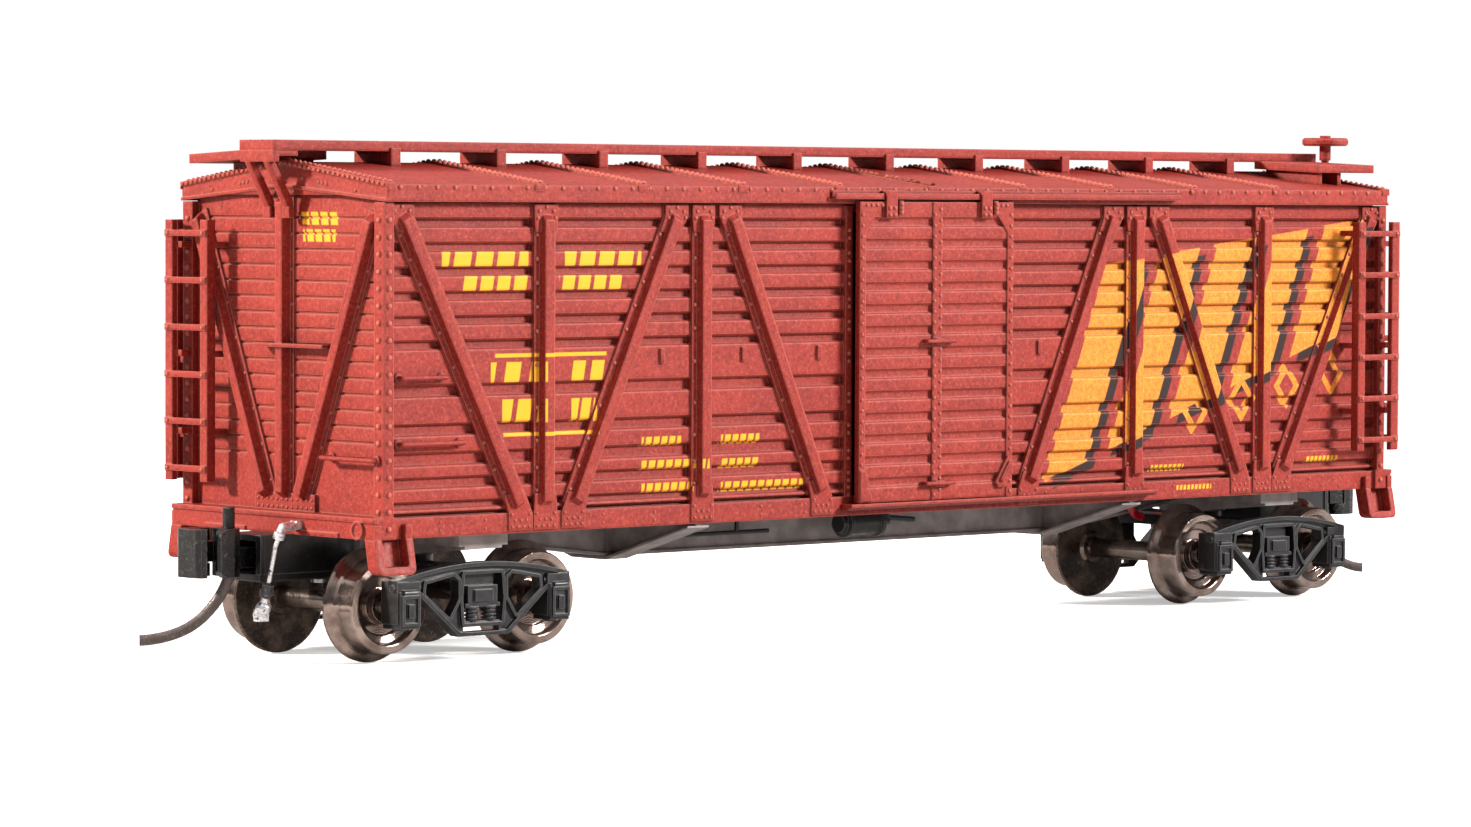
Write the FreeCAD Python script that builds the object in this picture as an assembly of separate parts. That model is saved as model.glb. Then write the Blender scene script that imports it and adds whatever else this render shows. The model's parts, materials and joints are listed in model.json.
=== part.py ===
import FreeCAD, Part
import math
import os

# Outside-braced railway stock car, 1:160 model for 9 mm gauge track.  Millimetres.
# X runs along the car and +X is the end with the hand brake (the B end).
# The right side of the car is the -Y side, Z = 0 is the top of the rail, and the
# origin is on the rail-top plane below the middle of the car.
# Every lateral size below is a distance from the centre line unless it says width.

V = FreeCAD.Vector
UP = V(0, 0, 1)
GAP = 0.05

# running gear
TRUCK_CENTRES = 64.27
WHEELBASE = 10.48
TREAD_R = 2.62
FLANGE_R = 3.10
WHEEL_INNER_Y = 3.80
WHEEL_OUTER_Y = 5.74
AXLE_R = 0.60
WHEEL_SEAT_R = 0.50
JOURNAL_R = 0.30
JOURNAL_END_Y = 6.90

# body
END_WALL_X = 39.75
SILL_Z = 6.455
SILL_TOP_Z = 7.56
WALL_TOP_Z = 24.60
WALL_THICKNESS = 0.60
JOINT_Y = 8.15
BOARD_Y = 8.45
CHORD_Y = 8.50
FLANGE_Y = 8.60
SILL_Y = 8.62
CORNER_Y = 8.85
PLATE_Y = 8.72
RIB_Y = 9.05
CORNER_X = 40.22
CORNER_TOP_Z = 24.22
CORNER_SIDE_LEG = 0.64
CORNER_END_LEG = 0.85
END_SILL_X = 40.90
LEDGE_OVERHANG = 0.10
BEVEL = 0.11

# side sheathing from the top chord down: height of each open joint, then of the board below it
CHORD_TOP_Z = 24.20
CHORD_BOTTOM_Z = 23.36
NARROW_BOARDS = [(0.40, 0.90)] * 5
WIDE_BOARDS = [(0.40, 1.95), (0.56, 1.53), (0.52, 0.99), (0.60, 0.72), (0.50, 0.79), (0.30, 0.30)]

# end sheathing: tongue and groove boards
END_GROOVE_TOP_Z = 23.40
END_BOARD_PITCH = 0.85
END_GROOVES = 16
END_GROOVE_DEPTH = 0.11
END_GROOVE_HALF = 0.08

# hat-section side and end braces
BRACE_W = 1.48
RIB_W = 0.64
RIB_DRAFT = 0.08
RIB_RAMP = 0.42
BRACE_FOOT_Z = 7.75
BRACE_HEAD_Z = 23.70
OUTER_POST_X = 28.95
INNER_POST_X = 17.50
BRACE_SPREAD = 2.00
CORNER_BRACE_SPREAD = 1.75
CORNER_HEAD_X = 38.95
DOOR_FOOT_X = 8.35
PLATE_W = 1.66

# roof
ROOF_HALF_X = 40.24
ROOF_HALF_Y = 9.02
GABLE_BACK_X = 39.97
FASCIA_BACK_Y = 8.60
FASCIA_Z = 24.25
EAVE_Z = 25.17
RIDGE_Z = 26.38
SEAM_PITCH = 7.42
SEAM_W = 0.70
SEAM_H = 0.10

# running board
BOARD_TOP_Z = 27.53
BOARD_T = 0.55
BOARD_HALF_Y = 1.50
BOARD_HALF_X = 41.90
SADDLE_PITCH = 7.48
SADDLE_T = 0.64

# doors
DOOR_HALF_X = 6.20
DOOR_BACK_Y = 9.10
DOOR_PANEL_Y = 9.22
DOOR_BOARD_Y = 9.38
DOOR_FRAME_Y = 9.46
DOOR_BOTTOM_Z = 7.20
DOOR_TOP_Z = 24.35
DOOR_BOARD_PITCH = 1.24
DOOR_JOINT = 0.40
DOOR_FIRST_EDGE_Z = 23.40
DOOR_BOARDS = 12
DOOR_OPENING_HALF_X = 5.90
HANGER_X = 3.85
TRACK_LEFT_X = -8.10
TRACK_RIGHT_X = 20.50
GUIDE_LEFT_X = -6.80
GUIDE_RIGHT_X = 18.70

# ladders and hand holds
GRAB_WIRE_R = 0.13
LADDER_W = 3.80
STILE_W = 0.62
STILE_T = 0.34
LADDER_BOTTOM_Z = 8.93
LADDER_TOP_Z = 23.21
RUNG_BOTTOM_Z = 9.62
RUNG_PITCH = 2.573
RUNGS = 6
RUNG_H = 0.34
SIDE_LADDER_Y = 9.99
SIDE_LADDER_X = 40.17
END_LADDER_X = 41.18
END_LADDER_Y = 9.17

# underframe
FLOOR_TOP_Z = 7.10
CENTRE_SILL_Y = 1.20
CENTRE_SILL_Z = 4.28
CENTRE_SILL_TIP_Z = 5.75
CENTRE_SILL_X = 30.00
CENTRE_SILL_FLANGE = 0.18
BOLSTER_HALF_X = 1.70
CENTRE_PLATE_Z = 5.00
CENTRE_PLATE_R = 2.10
KINGPIN_R = 0.80
CROSSBEARER_X = 17.55
CROSSBEARER_FLANGE_W = 1.60
CROSSBEARER_WEB_W = 0.32

# couplers
BOX_BACK_X = 36.60
BOX_FRONT_X = 43.00
BOX_HALF_Y = 1.75
BOX_WALL = 0.32
BOX_TOP_Z = SILL_Z
BOX_BOTTOM_Z = 4.35
LID_Z = 4.00
PIVOT_X = 40.60
PIVOT_R = 0.45
SHANK_HALF_Y = 0.60
SHANK_Z = (4.65, 5.75)
HEAD_Z = (4.25, 6.85)
LUG_Z = (5.00, 6.10)
KNUCKLE_X = 44.95
KNUCKLE_Y = -0.85
TRIP_R = 0.30

# hand brake
BRAKE_X = 41.70
BRAKE_Y = -2.45
BRAKE_Z = 28.28
BRAKE_WHEEL_R = 1.46
BRAKE_RIM_W = 0.36
BRAKE_RIM_H = 0.50
STAFF_R = 0.24
STAFF_FOOT_Z = 6.95
UPPER_BEARING_Z = 25.40
LOWER_BEARING_Z = 7.49


def block(x0, x1, y0, y1, z0, z1):
    """A box between two corners given in any order."""
    corner = V(min(x0, x1), min(y0, y1), min(z0, z1))
    return Part.makeBox(abs(x1 - x0), abs(y1 - y0), abs(z1 - z0), corner)


def rod(start, end, radius):
    """A round bar between two points."""
    direction = end - start
    return Part.makeCylinder(radius, direction.Length, start, direction)


def prism(outline, axis, start, end):
    """A closed outline in the plane across an axis, run along that axis.

    Points are (y, z) across x, (x, z) across y and (x, y) across z."""
    place = {
        "x": lambda a, b: V(start, a, b),
        "y": lambda a, b: V(a, start, b),
        "z": lambda a, b: V(a, b, start),
    }[axis]
    points = [place(a, b) for a, b in outline]
    run = {"x": V(end - start, 0, 0), "y": V(0, end - start, 0), "z": V(0, 0, end - start)}[axis]
    return Part.Face(Part.makePolygon(points + points[:1])).extrude(run)


def turned(profile, centre, axis):
    """A solid of revolution from (radius, height) points about an axis through a centre."""
    points = [V(radius, 0, height) for radius, height in profile]
    solid = Part.Face(Part.makePolygon(points + points[:1])).revolve(V(0, 0, 0), UP, 360)
    solid.Placement = FreeCAD.Placement(centre, FreeCAD.Rotation(UP, axis))
    return solid


def bent_wire(points, radius):
    """Round wire through a list of points, with rounded elbows."""
    pieces = [rod(a, b, radius) for a, b in zip(points, points[1:])]
    pieces += [Part.makeSphere(radius, point) for point in points[1:-1]]
    return joined(pieces)


def curved_wire(points, radius):
    """Round wire along a smooth curve through a list of points."""
    curve = Part.BSplineCurve()
    curve.interpolate(points)
    path = Part.Wire(curve.toShape())
    tangent = curve.tangent(curve.FirstParameter)[0]
    ring = Part.Wire(Part.makeCircle(radius, points[0], tangent))
    return path.makePipeShell([ring], True, True)


def joined(pieces):
    """One solid from pieces that overlap or touch."""
    return pieces[0].multiFuse(pieces[1:]).removeSplitter()


def half_turn(shape):
    """The same piece at the opposite corner of the car."""
    copy = shape.copy()
    copy.rotate(V(0, 0, 0), UP, 180)
    return copy


def mirrored(shape, normal):
    """The same piece on the other side of the plane through the origin."""
    return shape.mirror(V(0, 0, 0), normal)


def both_ends_and_sides(shape):
    """A corner piece at all four corners."""
    pair = [shape, mirrored(shape, V(1, 0, 0))]
    return pair + [mirrored(piece, V(0, 1, 0)) for piece in pair]


def saved(name, pieces):
    """Write one node: a single solid, or a group of separate solids."""
    solids = [solid for piece in pieces for solid in piece.Solids]
    shape = solids[0] if len(solids) == 1 else Part.makeCompound(solids)
    shape.exportStep("parts/" + name + ".step")
    return shape


# ---------------------------------------------------------------- body shell

def side_profile():
    """Outline (y, z) across the right side wall, with its boards, joints, chord and sill."""
    outline = [(-JOINT_Y + WALL_THICKNESS, SILL_Z), (-JOINT_Y + WALL_THICKNESS, WALL_TOP_Z)]
    outline += [(-JOINT_Y, WALL_TOP_Z), (-JOINT_Y, CHORD_TOP_Z)]
    outline += [(-CHORD_Y, CHORD_TOP_Z), (-CHORD_Y, CHORD_BOTTOM_Z + BEVEL)]
    outline += [(-CHORD_Y + BEVEL, CHORD_BOTTOM_Z), (-JOINT_Y, CHORD_BOTTOM_Z)]
    top = CHORD_BOTTOM_Z
    for joint, height in NARROW_BOARDS + WIDE_BOARDS:
        top -= joint
        bottom = top - height
        outline += [(-JOINT_Y, top), (-BOARD_Y + BEVEL, top), (-BOARD_Y, top - BEVEL)]
        outline += [(-BOARD_Y, bottom + BEVEL), (-BOARD_Y + BEVEL, bottom), (-JOINT_Y, bottom)]
        top = bottom
    outline += [(-JOINT_Y, SILL_TOP_Z), (-SILL_Y, SILL_TOP_Z), (-SILL_Y, SILL_Z)]
    return outline


def end_profile():
    """Outline (x, z) across the B end wall, with a shallow groove between its boards."""
    outline = [(END_WALL_X - WALL_THICKNESS, SILL_Z), (END_WALL_X - WALL_THICKNESS, WALL_TOP_Z)]
    outline += [(END_WALL_X, WALL_TOP_Z)]
    for row in range(END_GROOVES):
        level = END_GROOVE_TOP_Z - row * END_BOARD_PITCH
        outline += [(END_WALL_X, level + END_GROOVE_HALF), (END_WALL_X - END_GROOVE_DEPTH, level)]
        outline += [(END_WALL_X - END_GROOVE_DEPTH, level - END_GROOVE_HALF)]
        outline += [(END_WALL_X, level - END_GROOVE_HALF)]
    outline += [(END_WALL_X, SILL_Z)]
    return outline


def hat_brace(foot, head, back_y, flange_y, rib_y, width, rib_w):
    """A pressed hat-section brace from its foot to its head, both (x, z), facing -Y."""
    length = math.hypot(head[0] - foot[0], head[1] - foot[1])
    tilt = math.degrees(math.atan2(head[0] - foot[0], head[1] - foot[1]))
    flange = block(-width / 2, width / 2, -back_y, -flange_y, 0, length)
    base = rib_w / 2 + RIB_DRAFT
    section = [(-base, -back_y), (-base, -flange_y), (-rib_w / 2, -rib_y)]
    section += [(rib_w / 2, -rib_y), (base, -flange_y), (base, -back_y)]
    rib = prism(section, "z", base, length - base)
    for middle in (base, length - base):
        rib = rib.fuse(Part.makeCone(base, rib_w / 2, rib_y - flange_y, V(0, -flange_y, middle), V(0, -1, 0)))
    ramps = [(-back_y, 0), (-flange_y, 0), (-rib_y, RIB_RAMP)]
    ramps += [(-rib_y, length - RIB_RAMP), (-flange_y, length), (-back_y, length)]
    brace = flange.fuse(rib.common(prism(ramps, "x", -width, width)))
    brace.rotate(V(0, 0, 0), V(0, 1, 0), tilt)
    brace.translate(V(foot[0], 0, foot[1]))
    return brace


def brace_plates(foot, head):
    """The riveted foot plate on the sill and the gusset on the top chord of one side brace."""
    slope = (head[0] - foot[0]) / (head[1] - foot[1])
    half = PLATE_W / 2
    waist = BRACE_W / 2
    plates = []
    for x, edge_z, shoulder_z, waist_z in (
        (foot[0], SILL_Z + 0.15, SILL_Z + 1.05, SILL_Z + 2.10),
        (head[0], CHORD_TOP_Z - 0.05, CHORD_TOP_Z - 0.70, CHORD_TOP_Z - 1.55),
    ):
        middle = foot[0] + slope * (waist_z - foot[1])
        outline = [(x - half, edge_z), (x + half, edge_z), (x + half, shoulder_z)]
        outline += [(middle + waist, waist_z), (middle - waist, waist_z), (x - half, shoulder_z)]
        plates.append(prism(outline, "y", -JOINT_Y, -PLATE_Y))
    return plates


def side_braces():
    """All braces of the right side, drawn for the +X half and mirrored."""
    outer, inner = OUTER_POST_X, INNER_POST_X
    lines = [
        (outer, outer),
        (inner, inner),
        (outer + CORNER_BRACE_SPREAD, CORNER_HEAD_X),
        (outer - BRACE_SPREAD, inner + BRACE_SPREAD),
        (DOOR_FOOT_X, inner - BRACE_SPREAD),
    ]
    pieces = []
    for foot_x, head_x in lines:
        foot = (foot_x, BRACE_FOOT_Z)
        head = (head_x, BRACE_HEAD_Z)
        pieces.append(hat_brace(foot, head, JOINT_Y, FLANGE_Y, RIB_Y, BRACE_W, RIB_W))
        pieces += brace_plates(foot, head)
    return pieces + [mirrored(piece, V(1, 0, 0)) for piece in pieces]


def cleats():
    """Small upright cleats across the open joint above the widest board of the right side."""
    low, high, half = 15.42, 16.22, 0.15
    return [block(x - half, x + half, -JOINT_Y, -FLANGE_Y, low, high) for x in (-20.4, -14.3, -8.5, 9.4)]


def end_braces():
    """Centre post, two raking braces, foot plate and ledge of the A end, drawn at -X."""
    wall, flange, rib = END_WALL_X, END_WALL_X + 0.14, END_WALL_X + 0.68
    ledge_edge = END_WALL_X + 0.86
    foot_z, head_z = 8.20, 23.60
    lines = [(0, 0, 24.60), (-1.40, -7.75, head_z), (1.40, 7.75, head_z)]
    pieces = []
    for foot_y, head_y, top_z in lines:
        foot = (-foot_y, foot_z)
        head = (-head_y, top_z)
        brace = hat_brace(foot, head, wall - 0.2, flange, rib, 1.30, 0.56)
        brace.rotate(V(0, 0, 0), UP, -90)
        pieces.append(brace)
    pieces.append(block(-wall, -flange - 0.08, -2.60, 2.60, 7.60, 8.55))
    pieces.append(block(-wall, -ledge_edge, -4.05, 1.90, 16.42, 16.62))
    return pieces


def end_sill_parts():
    """End sill of the A end with its top ledge, two lips and the poling pocket at the right corner."""
    pieces = [
        block(-END_WALL_X + 0.3, -END_SILL_X, -CORNER_Y, CORNER_Y, SILL_Z, 7.50),
        block(-END_WALL_X + 0.3, -END_SILL_X - LEDGE_OVERHANG, -CORNER_Y, CORNER_Y, 7.36, 7.62),
        block(-END_SILL_X, -END_SILL_X - LEDGE_OVERHANG, -5.90, -2.20, SILL_Z, 6.72),
        block(-END_SILL_X, -END_SILL_X - LEDGE_OVERHANG, 2.20, 5.90, SILL_Z, 6.72),
    ]
    pocket_y, pocket_z = -7.58, 6.93
    pocket = rod(V(-END_WALL_X, pocket_y, pocket_z), V(-END_SILL_X - 0.16, pocket_y, pocket_z), 0.50)
    dish = rod(V(-END_SILL_X - 0.08, pocket_y, pocket_z), V(-END_SILL_X - 0.40, pocket_y, pocket_z), 0.38)
    return pieces + [pocket.cut(dish)]


def body_shell():
    """The one-piece moulded body: sides, ends, corner posts, sills and outside bracing."""
    side = prism(side_profile(), "x", -END_WALL_X, END_WALL_X)
    half_x = DOOR_OPENING_HALF_X
    opening = block(-half_x, half_x, -JOINT_Y - 1, -JOINT_Y + 1, SILL_TOP_Z, 23.80)
    side = side.cut(opening)
    strip = block(5.95, 6.50, -JOINT_Y, -FLANGE_Y, SILL_TOP_Z - 0.1, CHORD_TOP_Z - 0.1)
    right = [side, strip, mirrored(strip, V(1, 0, 0))] + side_braces() + cleats()
    end = prism(end_profile(), "y", -JOINT_Y, JOINT_Y)
    post_x, post_y = CORNER_X - CORNER_SIDE_LEG, -CORNER_Y + CORNER_END_LEG
    post = block(post_x, CORNER_X, post_y, -CORNER_Y, SILL_Z, CORNER_TOP_Z)
    a_end = end_braces() + end_sill_parts()
    pieces = right + [half_turn(piece) for piece in right]
    pieces += [end, half_turn(end)] + a_end + [half_turn(piece) for piece in a_end]
    pieces += both_ends_and_sides(post)
    return joined(pieces)


# ---------------------------------------------------------------- roof and running boards

def roof_level(y):
    """Height of the roof surface at a distance from the centre line."""
    return RIDGE_Z - (RIDGE_Z - EAVE_Z) * abs(y) / ROOF_HALF_Y


def roof():
    """Peaked metal roof with standing seam caps, eave fascia and a gable fascia at each end."""
    half = ROOF_HALF_Y
    inner = 7.50
    deck = prism(
        [(-half, WALL_TOP_Z), (-half, EAVE_Z), (0, RIDGE_Z), (half, EAVE_Z), (half, WALL_TOP_Z)],
        "x", -END_WALL_X, END_WALL_X)
    hollow = prism(
        [(-inner, WALL_TOP_Z), (-inner, 24.90), (0, 25.85), (inner, 24.90), (inner, WALL_TOP_Z)],
        "x", -END_WALL_X + 0.6, END_WALL_X - 0.6)
    pieces = [deck.cut(hollow)]
    gable = [(-half, FASCIA_Z), (-half, EAVE_Z), (0, RIDGE_Z), (half, EAVE_Z), (half, FASCIA_Z), (0, 25.02)]
    lip = [(-half, FASCIA_Z), (-half, FASCIA_Z + 0.17), (0, 25.19), (half, FASCIA_Z + 0.17), (half, FASCIA_Z)]
    lip += [(0, 25.02)]
    cap = [(-half, EAVE_Z - 0.14), (-half, EAVE_Z), (0, RIDGE_Z), (half, EAVE_Z), (half, EAVE_Z - 0.14)]
    cap += [(0, RIDGE_Z - 0.14)]
    for sign in (-1, 1):
        face = sign * GABLE_BACK_X
        pieces.append(prism(gable, "x", face, sign * (ROOF_HALF_X - 0.10)))
        pieces.append(prism(lip, "x", face, sign * ROOF_HALF_X))
        pieces.append(prism(cap, "x", face, sign * ROOF_HALF_X))
        upper = [(-half, WALL_TOP_Z), (-half, EAVE_Z), (0, RIDGE_Z), (half, EAVE_Z), (half, WALL_TOP_Z)]
        pieces.append(prism(upper, "x", sign * (END_WALL_X - 0.3), sign * (ROOF_HALF_X - 0.10)))
        reach, top = ROOF_HALF_X - 0.10, WALL_TOP_Z + 0.10
        pieces.append(block(-reach, reach, sign * FASCIA_BACK_Y, sign * half, FASCIA_Z, top))
    seam = [(-half, EAVE_Z - 0.30), (-half - 0.06, EAVE_Z - 0.30), (-half - 0.06, EAVE_Z + SEAM_H)]
    seam += [(0, RIDGE_Z + SEAM_H)]
    seam += [(half + 0.06, EAVE_Z + SEAM_H), (half + 0.06, EAVE_Z - 0.30), (half, EAVE_Z - 0.30)]
    seam += [(half, EAVE_Z - 0.02), (0, RIDGE_Z - 0.02), (-half, EAVE_Z - 0.02)]
    for count in range(-4, 5):
        middle = count * SEAM_PITCH
        pieces.append(prism(seam, "x", middle - SEAM_W / 2, middle + SEAM_W / 2))
    for sign in (-1, 1):
        pieces.append(prism(seam, "x", sign * (ROOF_HALF_X - 0.62), sign * ROOF_HALF_X))
    return joined(pieces)


def running_board():
    """Three planks moulded as one board the full length of the roof."""
    top, half_x, half_y = BOARD_TOP_Z, BOARD_HALF_X, BOARD_HALF_Y
    board = block(-half_x, half_x, -half_y, half_y, top - BOARD_T, top)
    for y in (-half_y / 3, half_y / 3):
        board = board.cut(block(-half_x - 1, half_x + 1, y - 0.05, y + 0.05, top - 0.08, top + 1))
    return board


def saddles():
    """Blocks across the roof ridge that carry the running board, with a lip up each edge of it."""
    under = BOARD_TOP_Z - BOARD_T
    inner, outer, lip = BOARD_HALF_Y + 0.01, BOARD_HALF_Y + 0.12, under + 0.18
    half = [(outer, roof_level(outer)), (outer, lip), (inner, lip), (inner, under)]
    outline = [(-y, z) for y, z in half] + [(y, z) for y, z in reversed(half)] + [(0, RIDGE_Z)]
    pieces = []
    for count in range(-5, 5):
        middle = (count + 0.5) * SADDLE_PITCH
        pieces.append(prism(outline, "x", middle - SADDLE_T / 2, middle + SADDLE_T / 2))
    return pieces


def lateral_board():
    """Corner foot board of the B end, over the ladders, on two battens."""
    inner_y, outer_y, thickness = 1.62, 6.95, 0.50
    slope = 0.045
    start_x, end_x = 35.90, 41.20

    def level(y):
        return 27.02 - slope * (y - inner_y)

    outline = [(-inner_y, level(inner_y)), (-outer_y, level(outer_y))]
    outline += [(-outer_y, level(outer_y) - thickness), (-inner_y, level(inner_y) - thickness)]
    board = prism(outline, "x", start_x, end_x)
    for joint in (1, 2):
        x = start_x + joint * (end_x - start_x) / 3
        groove = [(0, level(0) - 0.08), (-9, level(9) - 0.08), (-9, 30), (0, 30)]
        board = board.cut(prism(groove, "x", x - 0.05, x + 0.05))
    pieces = [board]
    under = [(-2.2, level(2.2) - thickness), (-6.6, level(6.6) - thickness)]
    under += [(-6.6, roof_level(6.6)), (-2.2, roof_level(2.2))]
    for x in (36.50, 38.30):
        pieces.append(prism(under, "x", x - 0.16, x + 0.16))
    return joined(pieces)


def running_board_bracket():
    """Fork bracket that props the overhanging running board off the A end."""
    under = BOARD_TOP_Z - BOARD_T
    front = BOARD_HALF_X
    foot_x = ROOF_HALF_X
    pieces = [
        block(-front, -front + 0.40, -1.45, 1.45, under - 0.62, under),
        block(-front, -foot_x, -1.45, -1.05, under - 0.30, under),
        block(-front, -foot_x, 1.05, 1.45, under - 0.30, under),
    ]
    for y in (-0.83, 0.83):
        strut = [(-front, under - 0.62), (-front + 0.42, under - 0.62)]
        strut += [(-foot_x - 0.02, 24.28), (-foot_x - 0.02, 23.80), (-foot_x - 0.30, 23.80)]
        pieces.append(prism(strut, "y", y - 0.22, y + 0.22))
        pieces.append(block(-foot_x - 0.02, -foot_x - 0.36, y - 0.30, y + 0.30, 23.35, 23.95))
    return joined(pieces)


# ---------------------------------------------------------------- doors

def door_hardware():
    """Handles, latch and corner bracket on the face of the right side door."""
    pieces = []
    for level in (16.35, 8.15):
        pieces.append(bent_wire([V(-1.05, -DOOR_BOARD_Y + 0.05, level), V(-1.05, -9.78, level),
                                 V(1.15, -9.78, level), V(1.15, -DOOR_BOARD_Y + 0.05, level)], 0.12))
        pieces.append(block(-0.30, 0.40, -DOOR_FRAME_Y + 0.05, -9.72, level - 0.20, level + 0.16))
    latch = [(4.75, 8.05), (5.75, 9.55), (6.15, 9.25), (6.15, 8.55), (5.55, 7.75), (4.95, 7.75)]
    pieces.append(prism(latch, "y", -DOOR_PANEL_Y, -9.58))
    bar = [(5.05, 8.20), (5.75, 9.25), (5.95, 9.10), (5.25, 8.05)]
    pieces.append(prism(bar, "y", -9.50, -9.72))
    bracket = [(-6.15, 7.30), (-6.15, 9.05), (-5.85, 9.05), (-5.55, 8.75), (-5.55, 7.95), (-5.25, 7.60),
               (-5.25, 7.30)]
    pieces.append(prism(bracket, "y", -DOOR_PANEL_Y, -9.56))
    return pieces


def door_hanger(x):
    """Strap that hooks over the lip of the overhead track."""
    plate = block(x - 0.42, x + 0.42, -DOOR_BOARD_Y + 0.02, -9.66, 23.45, 24.40)
    strap = block(x - 0.42, x + 0.42, -9.55, -9.66, 24.30, 25.02)
    bridge = block(x - 0.42, x + 0.42, -9.22, -9.66, 24.88, 25.02)
    hook = block(x - 0.42, x + 0.42, -9.22, -9.35, 24.71, 25.02)
    rib = block(x + 0.55, x + 0.85, -DOOR_BOARD_Y + 0.02, -9.70, 23.60, 24.42)
    return [plate, strap, bridge, hook, rib]


def door():
    """Right side door: boards with open joints in a riveted frame, hung from two straps."""
    outline = [(-DOOR_BACK_Y, DOOR_BOTTOM_Z), (-DOOR_BACK_Y, DOOR_TOP_Z), (-DOOR_BOARD_Y, DOOR_TOP_Z)]
    for row in range(DOOR_BOARDS + 1):
        edge = DOOR_FIRST_EDGE_Z - row * DOOR_BOARD_PITCH
        outline += [(-DOOR_BOARD_Y, edge + BEVEL), (-DOOR_BOARD_Y + BEVEL, edge), (-DOOR_PANEL_Y, edge)]
        outline += [(-DOOR_PANEL_Y, edge - DOOR_JOINT), (-DOOR_BOARD_Y + BEVEL, edge - DOOR_JOINT)]
        outline += [(-DOOR_BOARD_Y, edge - DOOR_JOINT - BEVEL)]
    outline += [(-DOOR_BOARD_Y, DOOR_BOTTOM_Z)]
    pieces = [prism(outline, "x", -DOOR_HALF_X, DOOR_HALF_X)]
    for x0, x1 in ((-DOOR_HALF_X, -DOOR_HALF_X + 0.46), (-0.36, 0.36), (DOOR_HALF_X - 0.46, DOOR_HALF_X)):
        pieces.append(block(x0, x1, -DOOR_BACK_Y, -DOOR_FRAME_Y, DOOR_BOTTOM_Z, DOOR_TOP_Z))
    for sign in (-1, 1):
        corner = sign * DOOR_HALF_X
        gusset = [(corner, DOOR_TOP_Z), (corner - sign * 1.95, DOOR_TOP_Z), (corner - sign * 0.40, 22.55)]
        gusset += [(corner, 22.55)]
        pieces.append(prism(gusset, "y", -DOOR_BACK_Y, -DOOR_FRAME_Y))
        pieces += door_hanger(sign * HANGER_X)
    return joined(pieces + door_hardware())


def door_track():
    """Overhead angle track on the eave fascia of the right side."""
    outline = [(-ROOF_HALF_Y - 0.06, 25.00), (-9.17, 25.00), (-9.17, 24.66), (-9.40, 24.66), (-9.40, 24.83)]
    outline += [(-9.50, 24.83), (-9.50, 24.50), (-ROOF_HALF_Y - 0.06, 24.50)]
    return prism(outline, "x", TRACK_LEFT_X, TRACK_RIGHT_X)


def door_guide():
    """Ledge on the right side sill that the foot of the door runs over."""
    outline = [(-SILL_Y, 7.14), (-9.52, 7.14), (-9.52, 6.96), (-9.10, 6.78), (-SILL_Y, 6.78)]
    ledge = prism(outline, "x", GUIDE_LEFT_X, GUIDE_RIGHT_X)
    plates = prism([(-PLATE_Y, 6), (-PLATE_Y, 8), (-8, 8), (-8, 6)], "x", 0, 30)
    for foot in (DOOR_FOOT_X, INNER_POST_X):
        ledge = ledge.cut(plates.common(block(foot - 1, foot + 1, -10, 0, 6, 8)))
    return ledge


# ---------------------------------------------------------------- ladders, grabs and steps

def ladder(brackets, outer_inset):
    """Ladder facing -Y with its outer face on y = 0, its right stile ending at x = 0.

    brackets lists (level, depth) pairs; outer_inset widens the right-hand brackets inboard."""
    pieces = []
    for x in (-LADDER_W, -STILE_W):
        pieces.append(block(x, x + STILE_W, 0, STILE_T, LADDER_BOTTOM_Z, LADDER_TOP_Z))
    web = 0.14
    pieces.append(block(-LADDER_W, -LADDER_W + web, 0, STILE_T + 0.22, LADDER_BOTTOM_Z, LADDER_TOP_Z))
    pieces.append(block(-web, 0, 0, STILE_T + 0.22, LADDER_BOTTOM_Z, LADDER_TOP_Z))
    for rung in range(RUNGS):
        level = RUNG_BOTTOM_Z + rung * RUNG_PITCH
        pieces.append(block(-LADDER_W + 0.05, -0.05, -0.10, 0.16, level - RUNG_H / 2, level + RUNG_H / 2))
    start = STILE_T - 0.05
    for level, depth_left, depth_right in brackets:
        low, high = level - 0.17, level + 0.17
        pieces.append(block(-LADDER_W, -LADDER_W + 0.50, start, depth_left, low, high))
        pieces.append(block(-0.55 - outer_inset, -0.02 - outer_inset / 2, start, depth_right, low, high))
    return joined(pieces)


def side_ladder():
    """Right side ladder at the B end."""
    to_board = SIDE_LADDER_Y - BOARD_Y
    to_post = SIDE_LADDER_Y - CORNER_Y
    shape = ladder([(level, to_board, to_post) for level in (22.50, 15.50, 11.40)], 0.25)
    shape.translate(V(SIDE_LADDER_X, -SIDE_LADDER_Y, 0))
    return shape


def end_ladder():
    """End ladder at the right corner of the B end."""
    to_wall = END_LADDER_X - END_WALL_X
    to_post = END_LADDER_X - CORNER_X
    brackets = [(level, to_wall, to_post) for level in (21.85, 15.90, 11.65)]
    shape = mirrored(ladder(brackets, 0.55), V(1, 0, 0))
    shape.rotate(V(0, 0, 0), UP, 90)
    shape.translate(V(END_LADDER_X, -END_LADDER_Y, 0))
    return shape


def grab_iron(first_foot, first_corner, last_corner, last_foot):
    """Bent wire hand hold through four points, with a round pad where each leg meets the body."""
    wire = bent_wire([first_foot, first_corner, last_corner, last_foot], GRAB_WIRE_R)
    pads = []
    for foot, corner in ((first_foot, first_corner), (last_foot, last_corner)):
        outward = (corner - foot).normalize()
        pads.append(rod(foot, foot + outward * 0.15, 2 * GRAB_WIRE_R))
    return joined([wire] + pads)


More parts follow.
